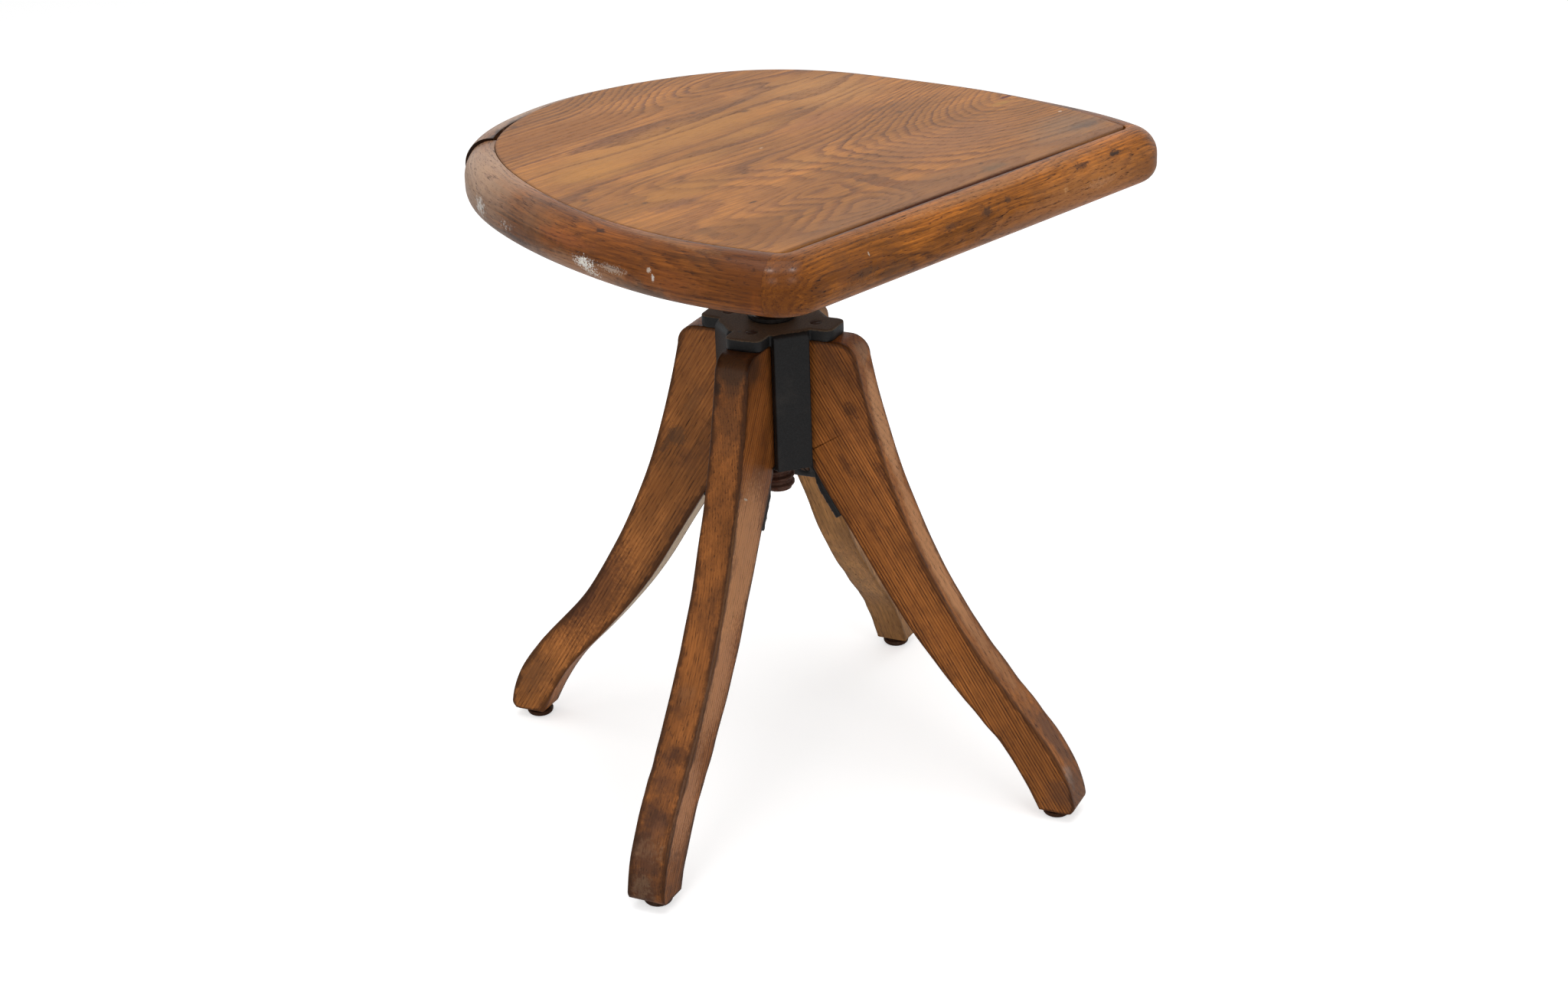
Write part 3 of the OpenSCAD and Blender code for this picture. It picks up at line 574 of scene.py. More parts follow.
# Hub
# One iron casting, painted black: the tube that the spindle turns in, four corner panels between the
# legs, the flange with its lobes, and the tongues under the legs. Its edges are soft from the mould.
HUB_VOXEL = 0.96 * MM
CASTING_SMOOTHING = 4
HUB_BORE_R = 12.3
HUB_BORE_Z = (240.0, 352.0)
HUB_BOTTOM_LIFT = 2.6
HUB_BARE_Z = 347.6
HUB_BARE_FADE = 1.6
# The tongues grow longer, thicker and wider by these shares, more and more between these distances along
# the leg. Their points lie beyond the radius, within the half width and under the height that follow.
TONGUE_GROWS = (0.24, 0.35, 0.16)
TONGUE_ROOT = (3, 14)
TONGUE_FROM_R, TONGUE_HALF_W, TONGUE_TOP_Z = 20, 13, 246
PANEL_ENDS_Z = (252, 245)
IRON_BLACK = rgb(12, 12, 12.5)
IRON_RUST = rgb(118, 82, 54)
DUST = rgb(100, 85, 70)
DUST_AMOUNT = 0.12
PITS_DULL = 0.12
RUST_DULLS = 0.22
PIT_SCALE, RUST_SCALE, DUST_SCALE = 0.9, 0.11, 0.045
# Rust shows where its noise is above the first of these less the second times its amount, and is full
# at the third above that
RUST_LEVELS = (0.8, 0.55, 0.14)


def run_modifiers(piece):
    """Leaves what a piece's modifiers make as its plain mesh."""
    ready = piece.evaluated_get(bpy.context.evaluated_depsgraph_get())
    piece.data = bpy.data.meshes.new_from_object(ready)
    piece.modifiers.clear()


def soft_casting(solid_name, name, voxel):
    """A copy of a CAD node with the soft edges of a sand casting."""
    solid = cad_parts[solid_name].data.copy()
    loose = bmesh.new()
    loose.from_mesh(solid)
    bmesh.ops.remove_doubles(loose, verts=loose.verts, dist=0.001 * MM)
    loose.to_mesh(solid)
    loose.free()
    made = new_object(name, solid)
    remesh = made.modifiers.new("remesh", "REMESH")
    remesh.mode = "VOXEL"
    remesh.voxel_size = voxel
    smooth = made.modifiers.new("smooth", "SMOOTH")
    smooth.factor = 0.5
    smooth.iterations = CASTING_SMOOTHING
    run_modifiers(made)
    return made


def mesh_places(mesh):
    """A mesh's points in metres."""
    places = np.empty(len(mesh.vertices) * 3)
    mesh.vertices.foreach_get("co", places)
    return places.reshape(-1, 3)


def clear_bore(mesh, radius, low, high):
    """Keeps the bore at its radius, because softening the casting fills it a little."""
    places = mesh_places(mesh)
    away = np.hypot(places[:, 0], places[:, 1])
    inside = (away < radius * MM) & (places[:, 2] > low * MM) & (places[:, 2] < high * MM)
    places[:, :2] *= np.where(inside, radius * MM / np.maximum(away, 1e-9), 1.0)[:, None]
    mesh.vertices.foreach_set("co", places.ravel())


def pitting_group():
    """The skin of a casting or of rusty steel: fine pits, and where rust has come through."""
    group, given, wanted = shader_group(
        "pitting", {"Place": (0.0, 0.0, 0.0), "Rust": 0.5}, ["Pits", "Rust", "Dust"])
    spot = given["Place"]
    bare, share, edge = RUST_LEVELS
    level = calc(group, "SUBTRACT", bare, times(group, given["Rust"], share))
    patches = cloudy(group, spot, 5.0, 0.65, RUST_SCALE)
    feed(group, wanted, {
        "Pits": cloudy(group, spot, 5.0, 0.7, PIT_SCALE),
        "Rust": fade(group, patches, level, calc(group, "ADD", level, edge)),
        "Dust": cloudy(group, spot, 4.0, 0.6, DUST_SCALE)})
    return group


PITTING = pitting_group()


def iron(name, paint, rust, rust_amount, roughness, metallic=0.0, bare_z=None, bare_fade=None):
    """Painted or bare iron with rust, more of it above bare_z, where dust and hands reach."""
    material, tree, finish = new_material(name)
    spot = own_millimetres(tree)
    amount = rust_amount
    if bare_z is not None:
        up = add(tree, "SeparateXYZ", {0: spot})[2]
        amount = fade(tree, up, bare_z - bare_fade, bare_z, rust_amount, 1.05)
    skin = add(tree, "Group", {"Place": spot, "Rust": amount}, node_tree=PITTING)
    speck = fade(tree, skin["Pits"], 0.35, 0.7, 0.75, 1.3)
    colour = toned(tree, blended(tree, skin["Rust"], paint, rust), speck)
    dusty = times(tree, fade(tree, skin["Dust"], 0.5, 0.75), DUST_AMOUNT)
    dull = times(tree, skin["Pits"], PITS_DULL, roughness - PITS_DULL / 2)
    bump = add(tree, "Bump", {"Height": skin["Pits"], "Strength": 0.35, "Distance": 0.5 * MM})[0]
    feed(tree, finish.inputs, {
        "Base Color": blended(tree, dusty, colour, DUST), "Normal": bump, "Metallic": metallic,
        "Roughness": times(tree, skin["Rust"], RUST_DULLS, dull), "Specular IOR Level": 0.2})
    return material


def longer_tongues(mesh):
    """Draws the tongues under the legs out to their uneven cast size, and the panels' lower ends up."""
    places = mesh_places(mesh) / MM
    root_out, root_z = INNER_CURVE[0]
    way = np.subtract(INNER_CURVE[1], INNER_CURVE[0])
    way /= np.linalg.norm(way)
    longer, thicker, wider = TONGUE_GROWS
    kept = np.zeros(len(places))
    for turn in LEG_TURNS.values():
        out, across = turned_by(places[:, 0], places[:, 1], -turn)
        off = np.stack([out - root_out, places[:, 2] - root_z], axis=1)
        along, below = off @ way, off @ (way[1], -way[0])
        near = (out > TONGUE_FROM_R) & (np.abs(across) < TONGUE_HALF_W) & (places[:, 2] < TONGUE_TOP_Z)
        part = smooth_step(along, *TONGUE_ROOT) * near
        along = along + part * longer * along
        below = below + part * thicker * np.maximum(below, 0)
        across = across + part * wider * across
        out = root_out + along * way[0] + below * way[1]
        up = root_z + along * way[1] - below * way[0]
        grown = np.column_stack([*turned_by(out, across, turn), up])
        places = np.where(part[:, None] > 0, grown, places)
        kept = np.maximum(kept, part)
    places[:, 2] += (1 - kept) * HUB_BOTTOM_LIFT * smooth_step(places[:, 2], *PANEL_ENDS_Z)
    mesh.vertices.foreach_set("co", (places * MM).ravel())


hub = soft_casting("hub", "hub_casting", HUB_VOXEL)
longer_tongues(hub.data)
clear_bore(hub.data, HUB_BORE_R, *HUB_BORE_Z)
hub_iron = iron("hub_black_iron", IRON_BLACK, IRON_RUST, 0.08, 0.42, 0.0, HUB_BARE_Z, HUB_BARE_FADE)
finish_mesh(hub.data, hub_iron, 180.0)
fit(hub, "base", "hub_iron", "hub")


# Lobe and tongue screws
# Slotted countersunk wood screws, brown with rust. Four go down through the lobes into the tops of the
# legs, and four come up through the tongues into their undersides.
SCREW_HEAD_SHARES = (1.9, 0.55)
SCREW_SLOT_SHARES = (0.14, 0.45)
SCREW_DOME_SHARE = 0.25
SCREW_SUNK = 0.35
SCREW_RIM_T = 0.6
SCREW_POINT_LEN = 5
LOBE_SCREW = (4.5, 30.0)
LOBE_SCREW_R = 33.0
LOBE_SCREW_Z = 348.0
TONGUE_SCREW_AT = (0.0400, 0.0420)
TONGUE_T = 5.0
screw_rust = iron("screw_rust", rgb(75, 45, 30), rgb(60, 24, 10), 0.6, 0.5, 0.35)


def turned(name, profile, material, segments=64):
    """A piece turned on a lathe: its profile is (radius, height) points from axis to axis."""
    turn = np.linspace(0, 2 * math.pi, segments, endpoint=False)
    points = [(r * math.cos(a), r * math.sin(a), z) for r, z in profile for a in turn]
    return new_piece(name, points, loft_faces(len(profile), segments), material, sharp=32.0)


def wood_screw(name, diameter, length, material):
    """A slotted countersunk screw, its head's top at the origin and its point down."""
    head_r = diameter * SCREW_HEAD_SHARES[0] / 2
    head_h = diameter * SCREW_HEAD_SHARES[1]
    rise = [(head_r * math.sin(a), SCREW_DOME_SHARE * head_h * math.cos(a) - SCREW_SUNK)
            for a in np.linspace(0, math.pi / 2, 6)]
    screw = turned(name, [*rise, (head_r, -SCREW_RIM_T), (diameter / 2, -head_h - 0.3),
                          (diameter / 2, -length + SCREW_POINT_LEN), (0.0, -length)], material, 24)
    slot_z = -head_h * SCREW_SLOT_SHARES[1]
    slot = turned(name + "_slot", [(0, 1), (2 * head_r, 1), (2 * head_r, slot_z), (0, slot_z)], material, 4)
    slot.data.transform(Matrix.Rotation(math.pi / 4, 4, "Z"))
    slot.data.transform(Matrix.Diagonal((1, SCREW_SLOT_SHARES[0] / math.sqrt(2), 1, 1)))
    cut = screw.modifiers.new("slot", "BOOLEAN")
    cut.operation = "DIFFERENCE"
    cut.object = slot
    run_modifiers(screw)
    bpy.data.objects.remove(slot)
    return screw


def geometry_tree(name, inputs):
    """A new geometry tree with the inputs {name: kind of socket} and one geometry output."""
    tree = bpy.data.node_groups.new(name, "GeometryNodeTree")
    tree.interface.new_socket("Geometry", in_out="OUTPUT", socket_type="NodeSocketGeometry")
    for label, kind in inputs.items():
        tree.interface.new_socket(label, in_out="INPUT", socket_type="NodeSocket" + kind)
    return tree, put(tree, "NodeGroupInput"), tree.nodes.new("NodeGroupOutput").inputs


def fastening_tree():
    """Geometry nodes that set one shape on each point, along the point's way, with a chance turn."""
    tree, given, wanted = geometry_tree(
        "fastening", {"Spots": "Geometry", "Shape": "Object", "Seed": "Int", "Finish": "Material"})
    shape = put(tree, "GeometryNodeObjectInfo", {"Object": given["Shape"]})["Geometry"]
    way = put(tree, "GeometryNodeInputNamedAttribute", {"Name": "way"}, data_type="FLOAT_VECTOR")[0]
    aim = put(tree, "FunctionNodeAlignRotationToVector", {"Vector": way})[0]
    chance = put(tree, "FunctionNodeRandomValue", {3: math.pi, "Seed": given["Seed"]})[1]
    twist = put(tree, "FunctionNodeAxisAngleToRotation", {"Angle": chance})[0]
    turn = put(tree, "FunctionNodeRotateRotation", {0: aim, 1: twist}, rotation_space="LOCAL")[0]
    spread = put(tree, "GeometryNodeInstanceOnPoints",
                 {"Points": given["Spots"], "Instance": shape, "Rotation": turn})[0]
    real = put(tree, "GeometryNodeRealizeInstances", {0: spread})[0]
    coat = put(tree, "GeometryNodeSetMaterial", {"Geometry": real, "Material": given["Finish"]})[0]
    feed(tree, wanted, {0: coat})
    return tree


def run_nodes(piece, tree, values):
    """Runs a geometry tree on a piece with named inputs, and leaves its result as a plain mesh."""
    modifier = piece.modifiers.new(tree.name, "NODES")
    modifier.node_group = tree
    for item in tree.interface.items_tree:
        if item.in_out == "INPUT" and item.name in values:
            modifier[item.identifier] = values[item.name]
    run_modifiers(piece)


FASTENING = fastening_tree()


def fasten(name, shape, spots, ways, seed):
    """Sets a shape at each spot with its z axis along that spot's way, as one piece."""
    made = new_object(name, bpy.data.meshes.new(name))
    made.data.from_pydata([tuple(MM * part for part in spot) for spot in spots], [], [])
    flat = [float(part) for way in ways for part in way]
    made.data.attributes.new("way", "FLOAT_VECTOR", "POINT").data.foreach_set("vector", flat)
    material = shape.data.materials[0]
    run_nodes(made, FASTENING, {"Shape": shape, "Seed": seed, "Finish": material})
    made.data.materials.clear()
    made.data.materials.append(material)
    made.data.shade_smooth()
    made.data.set_sharp_from_angle(angle=math.radians(32))
    return made


def at_each_leg(point):
    """A point or a way, turned round to each leg in turn."""
    return [(*turned_by(point[0], point[1], turn), point[2]) for turn in LEG_TURNS.values()]


screw = wood_screw("leg_screw", *LOBE_SCREW, screw_rust)
spots = at_each_leg((LOBE_SCREW_R, 0, LOBE_SCREW_Z))
lobe_screws = fasten("lobe_screw_set", screw, spots, [(0, 0, 1)] * 4, 3)
fit(lobe_screws, "base", "screw_steel", "lobe_screws")

inner = on_bezier(INNER_CURVE, TONGUE_SCREW_AT)
tongue_way = (inner[1] - inner[0]) / np.linalg.norm(inner[1] - inner[0])
head = inner[0] + TONGUE_T * np.array([tongue_way[1], -tongue_way[0]])
tongue_screws = fasten("tongue_screw_set", screw, at_each_leg((head[0], 0, head[1])),
                       at_each_leg((tongue_way[1], 0, -tongue_way[0])), 8)
fit(tongue_screws, "base", "screw_steel", "tongue_screws")
bpy.data.objects.remove(screw)


# Glides
# Four domed steel furniture glides, each nailed up into the end grain of a foot, over a small washer.
# They are brown from rust and floor polish.
GLIDE_R = 10.0
GLIDE_CAP_H = 4.8
GLIDE_ROUND = 4.5
GLIDE_FLAT_R = 5.5
GLIDE_H = 7.2
WASHER_R = 7.5
NAIL_R = 1.6
NAIL_LEN = 9.8
GLIDE_RADIUS = 210.0
glide_rust = iron("glide_rust", rgb(70, 38, 24), rgb(55, 22, 10), 0.75, 0.45, 0.45)
dome = [(GLIDE_FLAT_R + GLIDE_ROUND * math.sin(a), GLIDE_CAP_H * (1 - math.cos(a)) * 0.8)
        for a in np.linspace(0, math.pi / 2, 9)]
glide = turned("glide", [
    (0, 0), (GLIDE_FLAT_R - 1, 0), *dome, (GLIDE_R, GLIDE_CAP_H - 0.3), (GLIDE_R - 0.4, GLIDE_CAP_H),
    (WASHER_R, GLIDE_CAP_H), (WASHER_R, GLIDE_H), (NAIL_R, GLIDE_H), (NAIL_R, GLIDE_H + NAIL_LEN - 3),
    (0, GLIDE_H + NAIL_LEN)], glide_rust, 48)
glides = fasten("glide_set", glide, at_each_leg((GLIDE_RADIUS, 0, 0)), [(0, 0, 1)] * 4, 1)
bpy.data.objects.remove(glide)
fit(glides, "base", "glide_steel", "glide_left", "glide_front", "glide_right", "glide_back")


# Wear ring
# A loose turned steel washer between the hub and the seat's boss. It is black and oily, and its edges
# are eased.
RING_R = 17.0
RING_BORE_R = 12.2
RING_LOW_Z = 348.3
RING_T = 4.0
RING_EASE = 0.8
BORE_EASE = 0.4
ring_steel = iron("ring_oiled_steel", rgb(30, 28, 27), rgb(45, 24, 14), 0.25, 0.34, 0.8)
low, high = RING_LOW_Z, RING_LOW_Z + RING_T
loop = [(RING_BORE_R, low + BORE_EASE), (RING_BORE_R + BORE_EASE, low), (RING_R - RING_EASE, low),
        (RING_R, low + RING_EASE), (RING_R, high - RING_EASE), (RING_R - RING_EASE, high),
        (RING_BORE_R + BORE_EASE, high), (RING_BORE_R, high - BORE_EASE)]
wear_ring = turned("wear_ring_washer", [*loop, loop[0]], ring_steel, 72)
fit(wear_ring, "ring", "ring_steel", "wear_ring")


# Spindle
# A steel spindle with a coarse right-hand thread, cut in one pass from its rounded lower end up to a
# plain neck. Its stub goes into the seat's boss. Old grease and rust lie in the thread.
SPINDLE_SIZES = {
    "Crest radius": 12.0 * MM, "Root radius": 9.6 * MM, "Pitch": 6.0 * MM, "Crest width": 1.6 * MM,
    "Flank width": 1.3 * MM, "Low end": 220.0 * MM, "High end": 423.0 * MM, "End round": 5.0 * MM,
    "Stub radius": 9.5 * MM, "Neck end": 428.0 * MM, "Stub end": 451.0 * MM,
}
SPINDLE_STEPS = {"Turns": 37, "Steps a turn": 44, "Steps a pitch": 13}
WELD = 0.01 * MM


def thread_tree():
    """Geometry nodes that wind a strip of the thread's profile into a screw and round its lower end."""
    sockets = {**dict.fromkeys(SPINDLE_SIZES, "Float"), **dict.fromkeys(SPINDLE_STEPS, "Int")}
    tree, given, wanted = geometry_tree("screw_thread", {**sockets, "Finish": "Material"})
    crest_r, root_r, pitch, flank, low, high, end_r, turns = (given[label] for label in (
        "Crest radius", "Root radius", "Pitch", "Flank width", "Low end", "High end", "End round", "Turns"))

    def step(operation, *values):
        return calc(tree, operation, *values)

    columns = times(tree, turns, given["Steps a turn"], 1.0)
    strip = put(tree, "GeometryNodeMeshGrid", {0: 1.0, 1: 1.0, 2: columns, 3: given["Steps a pitch"]})[0]
    here = add(tree, "SeparateXYZ", {0: put(tree, "GeometryNodeInputPosition")[0]})
    turned_so_far = times(tree, step("ADD", here[0], 0.5), turns)
    off_crest = times(tree, step("ABSOLUTE", here[1]), pitch)
    shoulder = times(tree, given["Crest width"], 0.5, flank)
    raised = step("DIVIDE", step("SUBTRACT", shoulder, off_crest), flank)
    raised = step("MINIMUM", step("MAXIMUM", raised, 0.0), 1.0)
    cut = times(tree, raised, step("SUBTRACT", crest_r, root_r), root_r)
    rise = times(tree, pitch, step("ADD", turned_so_far, here[1]), times(tree, pitch, -2.0, low))
    height = step("MINIMUM", step("MAXIMUM", rise, low), high)
    short = step("SUBTRACT", end_r, step("MINIMUM", step("SUBTRACT", height, low), end_r))
    squared = step("SUBTRACT", times(tree, end_r, end_r), times(tree, short, short))
    dome = step("ADD", step("SUBTRACT", crest_r, end_r), step("SQRT", step("MAXIMUM", squared, 0.0)))
    inside = times(tree, step("GREATER_THAN", rise, low), step("LESS_THAN", rise, high))
    radius = times(tree, step("MINIMUM", cut, dome), inside)
    angle = times(tree, turned_so_far, 2 * math.pi)
    spot = add(tree, "CombineXYZ", {0: times(tree, radius, step("COSINE", angle)),
                                    1: times(tree, radius, step("SINE", angle)), 2: height})[0]
    wound = put(tree, "GeometryNodeSetPosition", {"Geometry": strip, "Position": spot})[0]
    parts = [put(tree, "GeometryNodeMergeByDistance", {"Geometry": wound, "Distance": WELD})[0]]
    for start, end, label in (("High end", "Neck end", "Crest radius"),
                              ("Neck end", "Stub end", "Stub radius")):
        rod = put(tree, "GeometryNodeMeshCylinder", {
            "Vertices": 64, "Radius": given[label], "Depth": step("SUBTRACT", given[end], given[start])})[0]
        lift = add(tree, "CombineXYZ", {2: times(tree, step("ADD", given[end], given[start]), 0.5)})[0]
        parts.append(put(tree, "GeometryNodeTransform", {"Geometry": rod, "Translation": lift})[0])
    joined = tree.nodes.new("GeometryNodeJoinGeometry")
    for part in parts:
        tree.links.new(part, joined.inputs[0])
    coat = put(tree, "GeometryNodeSetMaterial", {"Geometry": joined.outputs[0], "Material": given["Finish"]})
    feed(tree, wanted, {0: coat[0]})
    return tree


spindle_steel = iron("spindle_rusty_steel", rgb(100, 46, 30), rgb(85, 26, 13), 0.6, 0.45, 0.3)
spindle = new_object("spindle_screw", bpy.data.meshes.new("spindle_screw"))
run_nodes(spindle, thread_tree(), {**SPINDLE_SIZES, **SPINDLE_STEPS, "Finish": spindle_steel})
finish_mesh(spindle.data, spindle_steel, 50.0)
fit(spindle, "seat", "spindle_steel", "spindle")


# Seat plate, its pin and its screws
# An iron plate with a boss and four ribs carries the seat on the spindle. A steel pin goes through the
# boss and the spindle's stub, and four screws hold the plate to the panel.
PLATE_VOXEL = 1.1 * MM
PLATE_SCREW = (5.0, 20.0)
PLATE_SCREW_SPOT = 44.0
PLATE_LOW_Z = 446.0
plate = soft_casting("seat_plate", "seat_plate_casting", PLATE_VOXEL)
finish_mesh(plate.data, iron("plate_black_iron", rgb(16, 15, 15), IRON_RUST, 0.35, 0.5), 180.0)
fit(plate, "seat", "plate_iron", "seat_plate")

pin_steel = iron("pin_steel", rgb(85, 70, 60), rgb(60, 30, 16), 0.4, 0.4, 0.75)
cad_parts["spindle_pin"].data.materials.clear()
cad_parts["spindle_pin"].data.materials.append(pin_steel)

screw = wood_screw("plate_screw", *PLATE_SCREW, screw_rust)
spots = [(x, y, PLATE_LOW_Z) for x in (-PLATE_SCREW_SPOT, PLATE_SCREW_SPOT)
         for y in (-PLATE_SCREW_SPOT, PLATE_SCREW_SPOT)]
plate_screws = fasten("plate_screw_set", screw, spots, [(0, 0, -1)] * 4, 6)
bpy.data.objects.remove(screw)
fit(plate_screws, "seat", "screw_steel", "plate_screws")


# Seat panel
# A flat D-shaped oak board, its grain running along the straight edge. The saw cut its growth rings at a
# low angle, so they show as wide honey bands, an eye at the left and fine nested arches at the right.
SIDE_R = 330.0
SIDE_CENTRE = (140.0, -63.0)
BACK_R = 155.0
BACK_CENTRE = (0.0, 42.0)
MEET_A = 36.8699
CORNER_A = -18.66
CORNER_R = 8.0
CORNER = (165.08, -166.0)
FRONT_Y = -174.0
OUTLINE_STEP = 2.6
PANEL_LOW_Z = 452.0
SEAT_TOP_Z = 472.0
PANEL_FIT = 0.4
FRONT_GAP = 1.9
PANEL_EASE = 0.35
FRONT_EASE = 1.4
PANEL_MIDDLE = np.array([0.0, -8.0])
TOP_RINGS = 75
# The real outline: how much fuller its left and right shoulders are and where, how far it leans over to
# the right, how far its back is pulled in, and between which places each of these sets in
SHOULDER_SHARE = (0.035, 0.115)
SHOULDER_X = (-70, 70)
SHOULDER_Y, SHOULDER_LEN = 135, 66
SKEW, SKEW_Y = 6.0, (-120, 100)
BACK_PULL, BACK_PULL_Y = 3.2, (140, 197)


def outline_part(kind, start, end):
    """Points and outward ways along part of the seat's outline, anticlockwise from above."""
    centre, radius = {
        "right": ((-SIDE_CENTRE[0], SIDE_CENTRE[1]), SIDE_R), "back": (BACK_CENTRE, BACK_R),
        "left": (SIDE_CENTRE, SIDE_R), "right_corner": (CORNER, CORNER_R),
        "left_corner": ((-CORNER[0], CORNER[1]), CORNER_R),
    }[kind]
    steps = max(int(abs(math.radians(end - start)) * radius / OUTLINE_STEP), 9) + 1
    points = on_arc(centre, radius, start, end, steps)
    return points, (points - centre) / radius


def front_part():
    """The straight front of the outline, from left to right."""
    points = straight((-CORNER[0], FRONT_Y), (CORNER[0], FRONT_Y), int(2 * CORNER[0] / OUTLINE_STEP) + 1)
    return points, np.tile((0.0, -1.0), (len(points), 1))


def joined_parts(*parts):
    """One path from several parts of the outline, each point once."""
    return [np.concatenate([part[k][min(n, 1):] for n, part in enumerate(parts)]) for k in (0, 1)]


def facing_front(way_y):
    """From 0 at the corners to 1 along the straight front, for the outline's outward ways."""
    return np.clip(-way_y * 1.6 - 0.6, 0, 1)


def worn_to(points):
    """Moves points from the drawn outline to the real one, with fuller shoulders and a little askew."""
    x, y = points[:, 0], points[:, 1]
    left, right = SHOULDER_SHARE
    share = left + (right - left) * smooth_step(x, *SHOULDER_X)
    fuller = 1 + share * np.exp(-((y - SHOULDER_Y) / SHOULDER_LEN) ** 2)
    back = y - BACK_PULL * smooth_step(y, *BACK_PULL_Y)
    return np.stack([x * fuller + SKEW * smooth_step(y, *SKEW_Y), back], axis=1)


# Each hill in the growth is (x, y, half length, half width, height in rings, degrees that it is turned)
GROWTH_HILLS = (
    (226, -52, 172, 66, -24.0, 10), (-42, -32, 112, 34, -3.4, -12), (-95, -14, 34, 13, -0.9, -8),
    (118, 62, 50, 16, 0.9, 12), (60, 108, 60, 18, 1.0, 15), (-30, 78, 45, 10, 0.5, 6),
    (-150, 56, 34, 12, -0.6, 10), (30, -158, 90, 14, 0.9, 4),
)
GROWTH_Y = (-190, -150, -115, -60, -20, 0, 9, 30, 39, 64, 73, 96, 205)
GROWTH_RINGS = (-6.0, -3.6, -2.2, -1.3, -0.7, -0.15, 0.8, 0.95, 1.8, 1.95, 2.8, 3.0, 21.0)
GROWTH_LEAN = 0.05
# Towards the back right corner the growth falls by this many rings, between these places
CORNER_RINGS, CORNER_X, CORNER_Y = 9.0, (-40, 80), (95, 145)
# A tight fold of rings lies at the front left, between these places. Its tip, its slope and how many
# millimetres a ring takes up follow.
FOLD_X, FOLD_Y = ((-190, -165), (-20, -75)), ((-168, -150), (-84, -106))
FOLD_TIP, FOLD_SLOPE, FOLD_RING = (-120, -126), 1.6, 23.0
RINGS_A_MM_DOWN = 0.22


def panel_growth(x, y):
    """How many growth rings deep each place of the panel's top is: its rings are the contours of this."""
    base = np.interp(y - GROWTH_LEAN * x, GROWTH_Y, GROWTH_RINGS)
    base = base - CORNER_RINGS * smooth_step(x, *CORNER_X) * smooth_step(y, *CORNER_Y)
    for along, across, length, width, height, turn in GROWTH_HILLS:
        out, off = turned_by(x - along, y - across, -turn)
        base = base + height * np.exp(-(out / length) ** 2 - (off / width) ** 2)
    fold = math.prod(smooth_step(x, *ends) for ends in FOLD_X)
    fold = fold * math.prod(smooth_step(y, *ends) for ends in FOLD_Y)
    return base - fold * (x - FOLD_TIP[0] + FOLD_SLOPE * np.abs(y - FOLD_TIP[1])) / FOLD_RING


rim_line, rim_way = (values[:-1] for values in joined_parts(
    outline_part("right_corner", -90, CORNER_A), outline_part("right", CORNER_A, MEET_A),
    outline_part("back", MEET_A, 180 - MEET_A), outline_part("left", 180 - MEET_A, 180 - CORNER_A),
    outline_part("left_corner", 180 - CORNER_A, 270), front_part()))
at_front = facing_front(rim_way[:, 1:2])
at_left = smooth_step(-rim_way[:, :1], 0.3, 0.8) * smooth_step(rim_line[:, 1:2], 60, 20)
ease = PANEL_EASE + FRONT_EASE * at_front
edge_line = rim_line - (PANEL_FIT * (1 - 0.7 * at_left) + FRONT_GAP * at_front) * rim_way
all_middle = np.tile(PANEL_MIDDLE, (len(edge_line), 1))
rings = []


def add_ring(line, level, depth):
    """One more ring of the panel, from its middle over the top and the edge to its middle below."""
    level, depth = (np.broadcast_to(value, len(line)) for value in (level, depth))
    rings.append(np.column_stack([line, level, depth]))


add_ring(all_middle, SEAT_TOP_Z, 150.0)
for share in np.linspace(0, 1, TOP_RINGS + 1)[1:]:
    add_ring(PANEL_MIDDLE + (edge_line - ease * rim_way - PANEL_MIDDLE) * share, SEAT_TOP_Z,
             (1 - share) * np.linalg.norm(edge_line - PANEL_MIDDLE, axis=1))
for turn in np.radians([30, 60, 90]):
    add_ring(edge_line - ease * (1 - math.sin(turn)) * rim_way,
             SEAT_TOP_Z - ease[:, 0] * (1 - math.cos(turn)), 0.0)
for drop, pull in ((6, 0), (13, 0), (19.3, 0), (20, 0.7)):
    add_ring(edge_line - pull * rim_way, SEAT_TOP_Z - drop, 4.0)
for share in (0.97, 0.9, 0.8, 0.65, 0.5, 0.35, 0.2, 0.1):
    add_ring(PANEL_MIDDLE + (edge_line - PANEL_MIDDLE) * share, PANEL_LOW_Z, 60.0)
add_ring(all_middle, PANEL_LOW_Z, 150.0)
grain, edge = np.split(np.concatenate(rings), [3], axis=1)
growth = panel_growth(grain[:, 0], grain[:, 1]) + (SEAT_TOP_Z - grain[:, 2]) * RINGS_A_MM_DOWN

